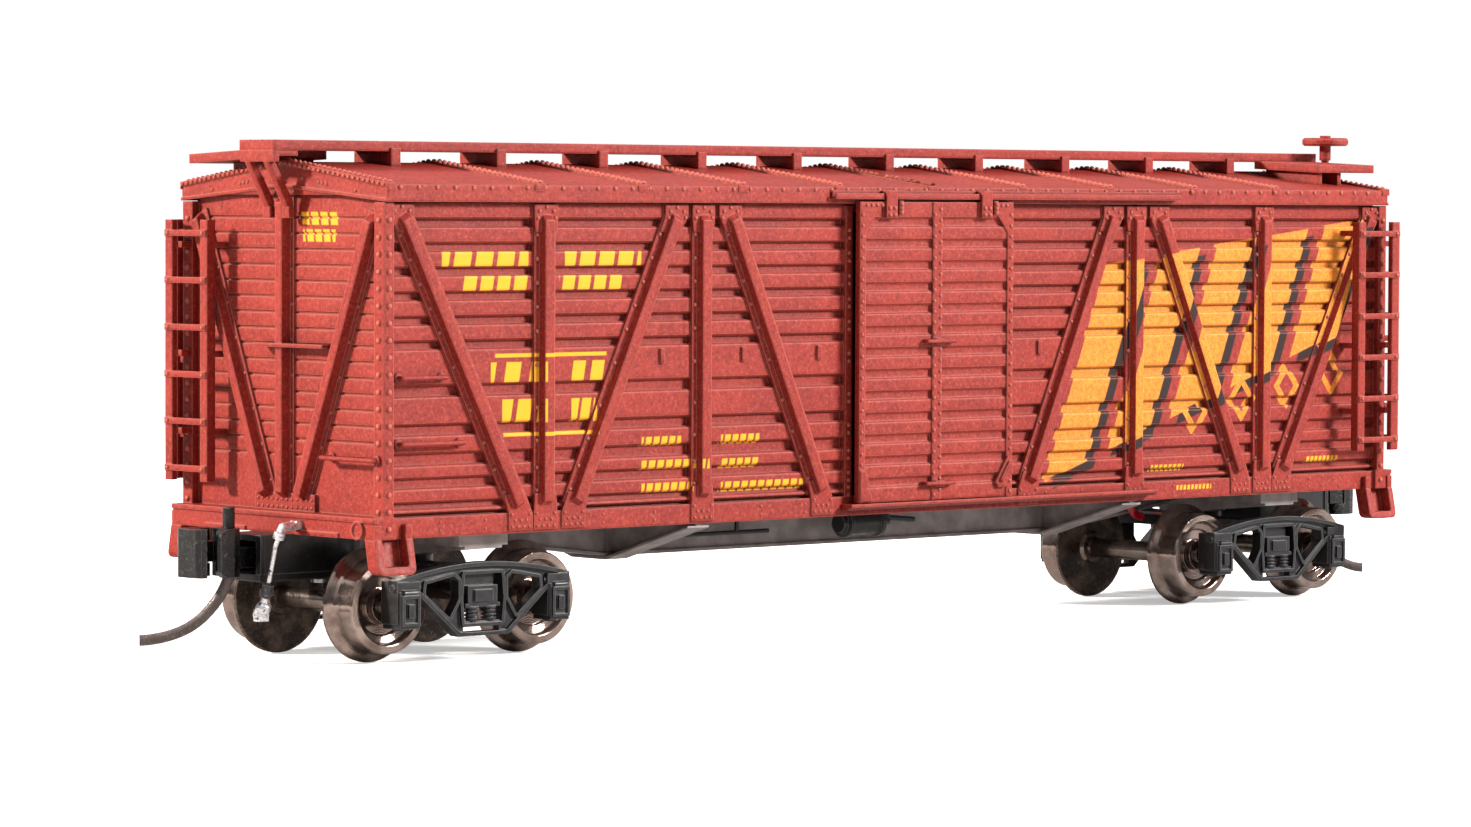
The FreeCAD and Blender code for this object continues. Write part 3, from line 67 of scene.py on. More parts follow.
class Shader:
    """A node material being built, with short names for the nodes used here."""

    def __init__(self, name):
        self.material = bpy.data.materials.new(name)
        self.material.use_nodes = True
        self.tree = self.material.node_tree
        self.tree.nodes.clear()
        place = self.node("ShaderNodeTexCoord").outputs["Object"]
        in_mm = self.node("ShaderNodeVectorMath", {0: place, "Scale": 1 / MM}, operation="SCALE")
        self.mm = in_mm.outputs[0]
        self.axes = self.node("ShaderNodeSeparateXYZ", {0: self.mm}).outputs
        self.geometry = self.node("ShaderNodeNewGeometry").outputs

    def node(self, kind, inputs=None, **settings):
        made = self.tree.nodes.new(kind)
        for key, value in settings.items():
            setattr(made, key, value)
        for key, value in (inputs or {}).items():
            if isinstance(value, bpy.types.NodeSocket):
                self.tree.links.new(value, made.inputs[key])
            else:
                made.inputs[key].default_value = value
        return made

    def math(self, operation, a, b=0.0, c=0.0):
        return self.node("ShaderNodeMath", {0: a, 1: b, 2: c}, operation=operation).outputs[0]

    def product(self, first, *others):
        total = first
        for other in others:
            total = self.math("MULTIPLY", total, other)
        return total

    def highest(self, first, *others):
        total = first
        for other in others:
            total = self.math("MAXIMUM", total, other)
        return total

    def step(self, value, low, high, to_low=0.0, to_high=1.0):
        """A smooth change from to_low to to_high as value goes from low to high."""
        made = self.node("ShaderNodeMapRange", {0: value, 1: low, 2: high, 3: to_low, 4: to_high},
                         interpolation_type="SMOOTHSTEP")
        return made.outputs[0]

    def noise(self, scale, detail=2.0, roughness=0.5):
        """Cloudy 0 to 1 values around 0.5; scale is the number of clouds in a millimetre."""
        settings = {"Vector": self.mm, "Scale": scale, "Detail": detail, "Roughness": roughness}
        return self.node("ShaderNodeTexNoise", settings).outputs[0]

    def patches(self, scale, detail, roughness, low, high, to_low=0.0, to_high=1.0):
        """Noise cut to patches: to_low where the noise is under low, to_high where it is over high."""
        return self.step(self.noise(scale, detail, roughness), low, high, to_low, to_high)

    def mix(self, factor, a, b):
        """Colour a where factor is 0, colour b where it is 1; a and b are sockets or three channels."""
        made = self.node("ShaderNodeMix", {0: factor}, data_type="RGBA")
        for index, colour in ((6, a), (7, b)):
            if isinstance(colour, bpy.types.NodeSocket):
                self.tree.links.new(colour, made.inputs[index])
            else:
                made.inputs[index].default_value = tuple(colour) + (1.0,)
        return made.outputs[2]

    def edges(self, radius):
        """Rounded normal and a 0 to 1 mask that rises on edges within a radius in millimetres."""
        bevel = self.node("ShaderNodeBevel", {"Radius": radius * MM}, samples=4)
        dot = self.node("ShaderNodeVectorMath", {0: bevel.outputs[0], 1: self.geometry["Normal"]},
                        operation="DOT_PRODUCT").outputs["Value"]
        return bevel.outputs[0], self.step(dot, 0.995, 0.86)

    def recess(self, distance):
        """A 0 to 1 mask that rises in recesses narrower than a distance in millimetres."""
        occlusion = self.node("ShaderNodeAmbientOcclusion", {"Distance": distance * MM}, samples=6)
        return self.step(occlusion.outputs["AO"], 0.75, 0.15)

    def output(self, shader):
        """Ends the material with a shader node."""
        end = self.node("ShaderNodeOutputMaterial", {"Surface": shader.outputs[0]})
        end.is_active_output = True
        return self.material

    def surface(self, colour, roughness, normal, metallic=0.0, coat=0.0, specular=0.5):
        inputs = {"Base Color": colour, "Roughness": roughness, "Metallic": metallic, "Normal": normal,
                  "Coat Weight": coat, "Coat Roughness": 0.2, "Specular IOR Level": specular}
        return self.output(self.node("ShaderNodeBsdfPrincipled", inputs))

    def bump(self, height, distance, normal=None, strength=1.0):
        inputs = {"Height": height, "Distance": distance * MM, "Strength": strength}
        if normal is not None:
            inputs["Normal"] = normal
        return self.node("ShaderNodeBump", inputs).outputs[0]


def srgb(red, green, blue):
    """Linear colour of a display colour given in 0 to 255."""
    def linear(value):
        value /= 255
        return value / 12.92 if value <= 0.04045 else ((value + 0.055) / 1.055) ** 2.4
    return (linear(red), linear(green), linear(blue))


# ---------------------------------------------------------------- painted marks

# Generic blocks and bars stand where a real car carries its lettering.  On each side "across" runs
# from left to right as the side is looked at, and "up" is the level above the rail.
# Each row: left and right end, bottom and top level, block pitch, share of the pitch filled.
BLOCK_ROWS = [
    (-36.0, -30.0, 20.82, 21.60, 1.50, 0.80),
    (-27.4, -21.9, 20.82, 21.60, 1.38, 0.80),
    (-34.6, -29.9, 19.52, 20.30, 1.17, 0.78),
    (-27.8, -23.3, 19.52, 20.30, 1.12, 0.78),
    (-32.6, -29.1, 14.58, 15.66, 1.75, 0.62),
    (-26.9, -24.2, 14.58, 15.66, 1.35, 0.68),
    (-31.8, -29.1, 12.40, 13.66, 1.35, 0.76),
    (-26.9, -25.2, 12.36, 13.62, 0.85, 0.80),
    (-21.8, -18.9, 10.86, 11.36, 0.58, 0.78),
    (-15.9, -13.0, 10.80, 11.34, 0.58, 0.78),
    (-21.8, -17.3, 9.54, 10.06, 0.64, 0.78),
    (-15.9, -13.0, 9.46, 10.00, 0.58, 0.78),
    (-21.8, -18.2, 8.28, 8.80, 0.60, 0.78),
    (-15.9, -9.6, 8.14, 8.70, 0.63, 0.78),
    (19.2, 22.1, 8.14, 8.54, 0.41, 0.75),
    (21.3, 24.4, 6.98, 7.26, 0.34, 0.72),
    (33.3, 36.3, 8.24, 8.64, 0.38, 0.75),
]
# the bars under two of the rows: left and right end, bottom and top level
BARS = [
    (-32.3, -24.4, 15.92, 16.12),
    (-31.7, -25.4, 11.66, 11.86),
]
END_ROWS = [
    (-4.40, -1.10, 23.00, 23.68, 0.82, 0.78),
    (-4.10, -1.30, 22.10, 22.76, 0.72, 0.80),
]
BLOCK_SLANT = 0.18
MARK_SOFTNESS = 0.035

# marks stay off the inner faces of the walls, which lie inside these planes
INSIDE_X, INSIDE_Y = 39.3, 7.8

# the emblem: slanted bars between two rising lines
EMBLEM_START, EMBLEM_END = 6.80, 29.35
EMBLEM_PITCH, EMBLEM_FILLED = 4.72, 0.69
EMBLEM_SLANT = 0.40
EMBLEM_TOP, EMBLEM_TOP_RISE = 18.95, 0.115
EMBLEM_BOTTOM, EMBLEM_BOTTOM_RISE = 4.55, 0.325
EMBLEM_SHADOW_RIGHT, EMBLEM_SHADOW_DOWN = 0.55, 0.42

# the row of hollow diamonds below the emblem
DIAMOND_COUNT = 4
DIAMOND_X, DIAMOND_PITCH = 23.1, 4.15
DIAMOND_Z, DIAMOND_RISE = 11.7, 0.70
DIAMOND_OUTER, DIAMOND_INNER = 1.47, 0.83
DIAMOND_NARROWING = 1.25


def box_mask(shader, across, up, left, right, low, high):
    """1 inside a rectangle and 0 outside it, with a narrow soft edge."""
    soft = MARK_SOFTNESS
    return shader.product(shader.step(across, left - soft, left + soft),
                          shader.step(across, right + soft, right - soft),
                          shader.step(up, low - soft, low + soft),
                          shader.step(up, high + soft, high - soft))


def block_row_mask(shader, across, up, row):
    """A row of slanted blocks inside a rectangle."""
    left, right, low, high, pitch, filled = row
    upright = shader.math("MULTIPLY_ADD", up, -BLOCK_SLANT, across)
    phase = shader.math("FRACT", shader.math("DIVIDE", shader.math("SUBTRACT", upright, left), pitch))
    soft = MARK_SOFTNESS / pitch
    return shader.product(shader.step(phase, 0.0, soft * 2),
                          shader.step(phase, filled + soft, filled - soft),
                          box_mask(shader, across, up, left, right, low, high))


def emblem_mask(shader, across, up):
    """Five slanted bars that grow towards the upper right."""
    upright = shader.math("MULTIPLY_ADD", up, -EMBLEM_SLANT, across)
    steps = shader.math("DIVIDE", shader.math("SUBTRACT", upright, EMBLEM_START), EMBLEM_PITCH)
    phase = shader.math("FRACT", steps)
    top = shader.math("MULTIPLY_ADD", across, EMBLEM_TOP_RISE, EMBLEM_TOP)
    bottom = shader.math("MULTIPLY_ADD", across, EMBLEM_BOTTOM_RISE, EMBLEM_BOTTOM)
    return shader.product(shader.step(phase, 0.00, 0.02),
                          shader.step(phase, EMBLEM_FILLED + 0.01, EMBLEM_FILLED - 0.01),
                          shader.step(shader.math("SUBTRACT", top, up), -0.05, 0.05),
                          shader.step(shader.math("SUBTRACT", up, bottom), -0.05, 0.05),
                          shader.step(upright, EMBLEM_START - 0.05, EMBLEM_START + 0.05),
                          shader.step(upright, EMBLEM_END + 0.05, EMBLEM_END - 0.05))


def diamonds_mask(shader, across, up):
    """A row of small hollow diamonds that rises to the right."""
    masks = []
    for count in range(DIAMOND_COUNT):
        centre_x = DIAMOND_X + count * DIAMOND_PITCH
        centre_z = DIAMOND_Z + count * DIAMOND_RISE
        dx = shader.math("ABSOLUTE", shader.math("SUBTRACT", across, centre_x))
        dz = shader.math("ABSOLUTE", shader.math("SUBTRACT", up, centre_z))
        reach = shader.math("MULTIPLY_ADD", dx, DIAMOND_NARROWING, dz)
        masks.append(shader.product(shader.step(reach, DIAMOND_OUTER + 0.03, DIAMOND_OUTER - 0.03),
                                    shader.step(reach, DIAMOND_INNER - 0.03, DIAMOND_INNER + 0.03)))
    return shader.highest(*masks)


def outer_face(shader, place, facing, inside):
    """1 on faces that look along an axis, in either direction, and lie outside the walls' inner planes."""
    looks_along = shader.step(shader.math("ABSOLUTE", facing), 0.35, 0.55)
    outside = shader.step(shader.math("ABSOLUTE", place), inside, inside + 0.1)
    return shader.product(looks_along, outside)


def add_marks(shader, colour):
    """The car's painted blocks, bars and emblem over a base colour, and the mask of the light ones."""
    along, sideways, up = shader.axes
    facing = shader.node("ShaderNodeSeparateXYZ", {0: shader.geometry["Normal"]}).outputs
    on_side = outer_face(shader, sideways, facing[1], INSIDE_Y)
    on_end = outer_face(shader, along, facing[0], INSIDE_X)
    across = shader.product(along, shader.math("SIGN", sideways), -1.0)
    end_across = shader.product(sideways, shader.math("SIGN", along), -1.0)
    rows = [block_row_mask(shader, across, up, row) for row in BLOCK_ROWS]
    bars = [box_mask(shader, across, up, *bar) for bar in BARS]
    end_rows = [block_row_mask(shader, end_across, up, row) for row in END_ROWS]
    small = shader.highest(shader.product(shader.highest(*rows, *bars), on_side),
                           shader.product(shader.highest(*end_rows), on_end))
    shadow = emblem_mask(shader, shader.math("SUBTRACT", across, EMBLEM_SHADOW_RIGHT),
                         shader.math("ADD", up, EMBLEM_SHADOW_DOWN))
    shadow = shader.product(shadow, on_side)
    unworn = shader.patches(2.6, 3.0, 0.6, 0.22, 0.34)
    gold = shader.highest(emblem_mask(shader, across, up), diamonds_mask(shader, across, up))
    gold = shader.product(gold, on_side, unworn)
    gold_tone = shader.mix(shader.patches(5.5, 4.0, 0.75, 0.40, 0.62), GOLD_DULL, GOLD)
    colour = shader.mix(shader.product(shadow, 0.96), colour, EMBLEM_SHADOW)
    colour = shader.mix(shader.product(gold, 0.97), colour, gold_tone)
    colour = shader.mix(shader.product(small, 0.97), colour, YELLOW)
    return colour, shader.highest(gold, small)


# ---------------------------------------------------------------- finishes

RED = srgb(146, 41, 30)
RED_DEEP = srgb(134, 35, 27)
RED_DUST = srgb(176, 84, 72)
# painted highlight: the colour that edges and rivet heads are lightened towards
RED_PAINTED_HIGHLIGHT = srgb(212, 122, 106)
# dark flecks of the paint's grain, and painted shade in recesses
RED_DARK_GRAIN_AND_SHADE = srgb(44, 14, 13)
EMBLEM_SHADOW = srgb(16, 10, 10)
GOLD = srgb(228, 142, 42)
GOLD_DULL = srgb(206, 112, 34)
# painted highlight on the edges of the gold and yellow marks
GOLD_PAINTED_HIGHLIGHT = srgb(246, 196, 112)
YELLOW = srgb(236, 164, 22)
PLAIN_BLACK = srgb(16, 16, 18)
OXIDE_DARK = srgb(48, 38, 34)
OXIDE_LIGHT = srgb(116, 98, 86)
OXIDE_SPECKLE = srgb(176, 158, 146)

METAL_SHARE = 0.94
TOOL_MARK_DEPTH = 0.0016
TOOL_RING_PITCH = 0.09


def scaled(colour, factor):
    """A colour made lighter or darker, no channel over 1."""
    return [min(1.0, channel * factor) for channel in colour]


def red_paint(name, marks=False, lift=0.0):
    """Satin oxide-red paint: soft mottle, spray grain, painted highlights along the edges and painted
    shade in recesses.

    lift paints a highlight over the whole of the small raised details, such as rivet heads, and keeps the
    painted recess shade off them."""
    s = Shader(name)
    grain = s.noise(5.5, 4.0, 0.75)
    rounded, _ = s.edges(0.21)
    _, edge = s.edges(0.09)
    colour = s.mix(s.patches(0.33, 4.0, 0.6, 0.35, 0.68), RED_DEEP, RED)
    colour = s.mix(s.step(grain, 0.52, 0.66, 0.0, 0.50), colour, RED_DUST)
    colour = s.mix(s.step(grain, 0.48, 0.35, 0.0, 0.50), colour, RED_DARK_GRAIN_AND_SHADE)
    colour = s.mix(s.patches(1.3, 4.0, 0.7, 0.50, 0.75, 0.0, 0.12), colour, RED_DUST)
    highlight_colour = RED_PAINTED_HIGHLIGHT
    # painted shade: how far recesses darken, less under the light marks
    shade = 0.86
    if marks:
        colour, painted = add_marks(s, colour)
        highlight_colour = s.mix(painted, RED_PAINTED_HIGHLIGHT, GOLD_PAINTED_HIGHLIGHT)
        shade = s.product(s.math("MULTIPLY_ADD", painted, -0.55, 1.0), shade)
    if not lift:
        # painted shade darkens the recesses
        colour = s.mix(s.product(s.recess(0.60), shade), colour, RED_DARK_GRAIN_AND_SHADE)
    # painted highlight: edges are lightened towards the highlight colour
    colour = s.mix(s.product(edge, 0.62), colour, highlight_colour)
    if lift:
        # painted highlight over the whole of each raised detail
        colour = s.mix(lift, colour, RED_PAINTED_HIGHLIGHT)
    rough = s.patches(3.0, 3.0, 0.6, 0.3, 0.7, 0.44, 0.58)
    return s.surface(colour, rough, s.bump(grain, 0.022, rounded, 0.7), specular=0.28)


def dark_plastic(name, base, light, roughness=(0.42, 0.62), specks=0.0, grain_height=0.014,
                 black_above=None):
    """Moulded engineering plastic with a fine spark-eroded grain, painted highlights along the edges and
    painted shade in recesses.

    specks is the share of light flecks; above the level black_above the base turns black."""
    s = Shader(name)
    rounded, edge = s.edges(0.07)
    colour = s.mix(s.patches(0.8, 4.0, 0.5, 0.35, 0.7), base, scaled(base, 1.6))
    if black_above is not None:
        high = s.step(s.axes[2], black_above - 0.1, black_above + 0.1)
        colour = s.mix(high, colour, PLAIN_BLACK)
    colour = s.mix(s.patches(5.0, 4.0, 0.7, 0.58, 0.68, 0.0, specks), colour, light)
    # painted highlight: edges are lightened towards the light colour
    colour = s.mix(s.product(edge, 0.45), colour, light)
    # painted shade darkens the recesses
    colour = s.mix(s.product(s.recess(0.8), 0.5), colour, scaled(base, 0.5))
    rough = s.patches(2.2, 3.0, 0.5, 0.3, 0.7, *roughness)
    return s.surface(colour, rough, s.bump(s.noise(8.0, 4.0, 0.65), grain_height, rounded, 0.6))


def metal_base(s, base, tint, edge, roughness):
    """Colour and roughness of machined metal with stains, painted shade in recesses and painted highlights
    on edges, shared by the metals below.
    """
    colour = s.mix(s.patches(0.55, 4.0, 0.65, 0.38, 0.72), base, tint)
    # painted shade darkens the recesses
    colour = s.mix(s.product(s.recess(0.7), 0.55), colour, scaled(base, 0.3))
    # painted highlight: edges are lightened
    colour = s.mix(s.product(edge, 0.5), colour, scaled(base, 1.5))
    rough = s.patches(6.0, 3.0, 0.6, 0.3, 0.7, roughness * 0.75, roughness * 1.35)
    return colour, rough


def turned_metal(name, base, tint, roughness):
    """Machined metal with stains and a fine even grain."""
    s = Shader(name)
    rounded, edge = s.edges(0.05)
    colour, rough = metal_base(s, base, tint, edge, roughness)
    fine = s.bump(s.noise(14.0, 2.0, 0.5), TOOL_MARK_DEPTH, rounded, 0.6)
    return s.surface(colour, rough, fine, metallic=METAL_SHARE)


def wheel_metal(name, base, tint, roughness, axle):
    """Machined metal of a wheelset, with tool rings about the axle, which lies along Y at (x, z).

    The faces that look inboard are oxidised dark brown with light speckles."""
    s = Shader(name)
    rounded, edge = s.edges(0.05)
    colour, rough = metal_base(s, base, tint, edge, roughness)
    facing = s.node("ShaderNodeSeparateXYZ", {0: s.geometry["Normal"]}).outputs[1]
    outboard = s.product(facing, s.math("SIGN", s.axes[1]))
    inboard = s.step(outboard, -0.55, -0.80)
    oxide = s.mix(s.patches(0.5, 4.0, 0.7, 0.40, 0.66), OXIDE_DARK, OXIDE_LIGHT)
    oxide = s.mix(s.patches(5.0, 5.0, 0.8, 0.54, 0.68, 0.0, 0.55), oxide, OXIDE_SPECKLE)
    colour = s.mix(inboard, colour, oxide)
    rough = s.math("MULTIPLY_ADD", inboard, 0.24, rough)
    metallic = s.math("MULTIPLY_ADD", inboard, -0.5, METAL_SHARE)
    dx = s.math("SUBTRACT", s.axes[0], axle[0])
    dz = s.math("SUBTRACT", s.axes[2], axle[1])
    radius = s.math("SQRT", s.math("ADD", s.product(dx, dx), s.product(dz, dz)))
    rings = s.math("SINE", s.product(radius, 2 * math.pi / TOOL_RING_PITCH))
    return s.surface(colour, rough, s.bump(rings, TOOL_MARK_DEPTH, rounded, 0.6), metallic=metallic)


def gloss_lead(name):
    """Red insulation of the pickup lead, wrinkled a little at its bend."""
    s = Shader(name)
    colour = s.mix(s.patches(2.0, 3.0, 0.5, 0.35, 0.7), srgb(150, 8, 26), srgb(196, 16, 40))
    rough = s.patches(4.0, 2.0, 0.5, 0.3, 0.7, 0.18, 0.30)
    return s.surface(colour, rough, s.bump(s.noise(5.0, 3.0), 0.02), coat=0.4)


def silver_paint(name, black_below=None):
    """Bright hand-brushed silver with dark flecks where it missed, and a black fitting below a level."""
    s = Shader(name)
    covered = s.patches(3.4, 4.0, 0.7, 0.36, 0.48)
    if black_below is not None:
        covered = s.product(covered, s.step(s.axes[2], black_below - 0.05, black_below + 0.05))
    rounded, edge = s.edges(0.06)
    colour = s.mix(covered, srgb(46, 46, 50), srgb(232, 232, 236))
    # painted highlight: edges are lightened towards near white
    colour = s.mix(s.product(edge, 0.4), colour, srgb(240, 240, 244))
    rough = s.patches(5.0, 3.0, 0.5, 0.3, 0.7, 0.20, 0.38)
    brushed = s.bump(s.noise(4.5, 3.0), 0.03, rounded, 0.8)
    return s.surface(colour, rough, brushed, metallic=s.product(covered, 0.7))


body_paint = red_paint("marked_oxide_paint", marks=True)
paint = red_paint("oxide_paint")
highlighted_rivet_paint = red_paint("oxide_paint_highlighted_rivets", lift=0.52)
black = dark_plastic("black_moulding", srgb(17, 17, 19), srgb(150, 150, 154), (0.28, 0.44), specks=0.08)
charcoal = dark_plastic("charcoal_moulding", srgb(126, 118, 117), srgb(186, 178, 176))
coupler_black = dark_plastic("coupler_moulding", srgb(8, 8, 9), srgb(150, 148, 152), (0.14, 0.28),
                             specks=0.22, grain_height=0.06)
wire = dark_plastic("oxidised_wire", srgb(82, 70, 66), srgb(170, 152, 146), (0.26, 0.40),
                    specks=0.2, grain_height=0.02)
pin_wire = dark_plastic("trip_pin_wire", srgb(78, 68, 66), srgb(176, 162, 156), (0.22, 0.36),
                        specks=0.3, grain_height=0.03, black_above=4.5)
steel = turned_metal("bright_steel", srgb(176, 176, 178), srgb(148, 146, 146), 0.26)
axle_metal = turned_metal("nickel_axle", srgb(150, 140, 132), srgb(104, 92, 84), 0.20)
silver = silver_paint("silver_paint")
silver_hose = silver_paint("silver_on_black_hose", black_below=3.95)
lead = gloss_lead("red_insulation")

SLOT_LOOKS = {
    "oxide_red": paint,
    "black_plastic": black,
    "bright_steel": steel,
    "dark_wire": wire,
    "silver_paint": silver,
    "red_insulation": lead,
    "nickel_axle": axle_metal,
}
NODE_LOOKS = {
    "body_shell": body_paint,
    "underframe": charcoal,
    "air_hoses": silver_hose,
    "coupler_a": coupler_black,
    "coupler_b": coupler_black,
    "knuckle_a": coupler_black,
    "knuckle_b": coupler_black,
    "trip_pin_a": pin_wire,
    "trip_pin_b": pin_wire,
}

slot_of = {part["node"]: part["material_slot"] for part in frame["record"]["subparts"]}
for name, node in nodes.items():
    if name.startswith("wheels_"):
        wheels_low, wheels_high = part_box(name)
        centre = (wheels_low + wheels_high) / 2 / MM
        look = wheel_metal("blackened_" + name, srgb(174, 156, 148), srgb(116, 98, 90), 0.11,
                           (centre.x, centre.z))
    else:
        look = NODE_LOOKS.get(name) or SLOT_LOOKS[slot_of[name]]
    node.data.materials.clear()
    node.data.materials.append(look)

# ---------------------------------------------------------------- small hardware


class Pile:
    """Many small closed rivet heads gathered into one mesh."""

    SIDES = 8
    # share of the radius and of the height at each ring, from the foot up; the foot sinks in a little
    RINGS = [(1.0, 0.0), (0.96, 0.35), (0.62, 0.82)]
    FOOT_DEPTH = 0.02

    def __init__(self):
        self.points = []
        self.faces = []

    def dome(self, centre, normal, radius, height):
        """A round rivet head standing on a surface."""
        normal = normal.normalized()
        across = normal.orthogonal().normalized()
        around = normal.cross(across)
        start = len(self.points)
        for share, rise in self.RINGS:
            lift = rise * height if rise else -self.FOOT_DEPTH
            for side in range(self.SIDES):
                angle = 2 * math.pi * side / self.SIDES
                out = across * math.cos(angle) + around * math.sin(angle)
                self.points.append(centre + out * radius * share + normal * lift)
        top = len(self.points)
        self.points.append(centre + normal * height)
        self.faces.append([start + side for side in reversed(range(self.SIDES))])
        for ring in range(len(self.RINGS)):
            low = start + ring * self.SIDES
            high = low + self.SIDES
            for side in range(self.SIDES):
                after = (side + 1) % self.SIDES
                if high < top:
                    self.faces.append([low + side, low + after, high + after, high + side])
                else:
                    self.faces.append([low + side, low + after, top])

    def finish(self, name, body):
        mesh = bpy.data.meshes.new(name)
        mesh.from_pydata([point * MM for point in self.points], [], self.faces)
        mesh.validate()
        mesh.update()
        mesh.shade_smooth()
        mesh.materials.append(highlighted_rivet_paint)
        piece = bpy.data.objects.new(name, mesh)
        bpy.context.scene.collection.objects.link(piece)
        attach(piece, body)


def surface_of(name):
    """Something to drop rivets onto: the surface of a CAD node, in millimetres."""
    mesh = nodes[name].data
    points = [vertex.co / MM for vertex in mesh.vertices]
    faces = [list(polygon.vertices) for polygon in mesh.polygons]
    return BVHTree.FromPolygons(points, faces)


def landed(surface, start, direction):
    """Where a line from outside first meets a surface, and the normal there."""
    place, normal, _, _ = surface.ray_cast(Vector(start), Vector(direction))
    return place, normal


def half_turned(point):
    return Vector((-point.x, -point.y, point.z))


def rivet_pair(pile, surface, start, direction, radius, height):
    """A rivet dropped on a surface, and its twin at the opposite corner of the car."""
    place, normal = landed(surface, start, direction)
    if place is None or normal.dot(Vector(direction)) > -0.5:
        return
    pile.dome(place, normal, radius, height)
    pile.dome(half_turned(place), half_turned(normal), radius, height)


shell = surface_of("body_shell")
roof_skin = surface_of("roof")

# rivets are dropped from outside the car, along these directions
OUTSIDE_X, OUTSIDE_Y, OUTSIDE_Z = -50.0, -12.0, 40.0
FROM_SIDE = (0, 1, 0)
FROM_END = (1, 0, 0)
FROM_ABOVE = (0, 0, -1)

# radius and height of the heads
PLAIN_RIVET = (0.125, 0.10)
CORNER_RIVET = (0.17, 0.14)
FOOT_RIVET = (0.105, 0.08)
SILL_RIVET = (0.10, 0.06)
END_RIVET = (0.10, 0.07)
EAVE_RIVET = (0.14, 0.11)
SEAM_RIVET = (0.145, 0.16)
VERGE_RIVET = (0.13, 0.14)
GABLE_EDGE_RIVET = (0.11, 0.12)
GABLE_RIVET = (0.11, 0.08)
HANGER_BOLT = (0.13, 0.12)
LADDER_BOLT = (0.14, 0.10)

# side boards from the top chord down: open joint, then board
CHORD_BOTTOM = 23.36
BOARDS = [(0.40, 0.90)] * 5
BOARDS += [(0.40, 1.95), (0.56, 1.53), (0.52, 0.99), (0.60, 0.72), (0.50, 0.79), (0.30, 0.30)]

# side braces: distance of foot and head from the car's middle, and the levels they are measured at
BRACES = [(28.95, 28.95), (17.50, 17.50), (30.70, 38.95), (26.95, 19.50), (8.35, 15.50)]
BRACE_FOOT, BRACE_HEAD = 7.75, 23.70
FLANGE_RIVET = 0.56
HEAD_RIVETS = [(-0.50, 23.78), (0.50, 23.78), (-0.62, 23.42), (0.62, 23.42), (0.0, 24.0)]
FOOT_RIVETS = [(-0.60, 6.80), (-0.20, 6.80), (0.20, 6.80), (0.60, 6.80), (-0.40, 7.14), (0.0, 7.14),
               (0.40, 7.14), (-0.64, 7.46), (0.64, 7.46)]
SILL_RIVETS_X = (-36.2, -33.1, -24.75, -21.0, -13.0, -9.6, 9.9, 13.0, 21.0, 24.6, 33.4, 36.2)
SILL_RIVETS_Z = (6.78, 7.24)
DOOR_POST_X, DOOR_POST_SPREAD = -6.22, 0.22

# corner posts: the rivet column on each leg of the angle
CORNER_COLUMN_X, CORNER_COLUMN_Y = 39.90, 8.40
CORNER_START_SIDE, CORNER_START_END, CORNER_TOP = 7.0, 7.9, 24.1
CORNER_PITCH = 0.905


def levels(start, stop, pitch):
    """Levels from start, a pitch apart, up to stop."""
    level = start
    while level < stop:
        yield level
        level += pitch


def board_middles():
    level = CHORD_BOTTOM
    for joint, height in BOARDS:
        yield level - joint - height / 2
        level -= joint + height


def side_rivets():
    pile = Pile()
    middles = list(board_middles())

    def drop(x, z, size=PLAIN_RIVET):
        rivet_pair(pile, shell, (x, OUTSIDE_Y, z), FROM_SIDE, *size)

    for foot, head in BRACES:
        slope = (head - foot) / (BRACE_HEAD - BRACE_FOOT)
        reach = FLANGE_RIVET * math.hypot(1, slope)
        for sign in (-1, 1):
            for z in middles[:-1]:
                centre = foot + slope * (z - BRACE_FOOT)
                drop(sign * (centre - reach), z)
                drop(sign * (centre + reach), z)
            for dx, z in HEAD_RIVETS:
                drop(sign * (head + dx), z)
            for dx, z in FOOT_RIVETS:
                drop(sign * (foot + dx), z, FOOT_RIVET)
    for z in levels(CORNER_START_SIDE, CORNER_TOP, CORNER_PITCH):
        drop(-CORNER_COLUMN_X, z, CORNER_RIVET)
        drop(CORNER_COLUMN_X, z, CORNER_RIVET)
    for x in SILL_RIVETS_X:
        for z in SILL_RIVETS_Z:
            drop(x, z, SILL_RIVET)
    for z in middles:
        drop(DOOR_POST_X, z + DOOR_POST_SPREAD)
        drop(DOOR_POST_X, z - DOOR_POST_SPREAD)
    pile.finish("side_rivets", "car_body")


# end braces: foot and head to one side of the car's middle, and the level of the head
END_BRACES = [(0, 0, 24.3), (-1.40, -7.75, 23.60), (1.40, 7.75, 23.60)]
END_BRACE_FOOT = 8.20
END_FLANGE_RIVET = 0.47
END_FLANGE_START, END_FLANGE_PITCH = 9.2, 1.9
# the plate at the braces' feet
PLATE_ROWS_Z = (7.80, 8.22)
PLATE_START, PLATE_PITCH, PLATE_COUNT = -2.35, 0.427, 12


def end_rivets():
    pile = Pile()

    def drop(y, z, size):
        rivet_pair(pile, shell, (OUTSIDE_X, y, z), FROM_END, *size)

    for z in levels(CORNER_START_END, CORNER_TOP, CORNER_PITCH):
        drop(-CORNER_COLUMN_Y, z, CORNER_RIVET)
        drop(CORNER_COLUMN_Y, z, CORNER_RIVET)
    for foot, head, top in END_BRACES:
        slope = (head - foot) / (top - END_BRACE_FOOT)
        reach = END_FLANGE_RIVET * math.hypot(1, slope)
        for z in levels(END_FLANGE_START, top - 0.4, END_FLANGE_PITCH):
            centre = foot + slope * (z - END_BRACE_FOOT)
            drop(centre - reach, z, END_RIVET)
            drop(centre + reach, z, END_RIVET)
    for z in PLATE_ROWS_Z:
        for count in range(PLATE_COUNT):
            drop(PLATE_START + count * PLATE_PITCH, z, END_RIVET)
    pile.finish("end_rivets", "car_body")


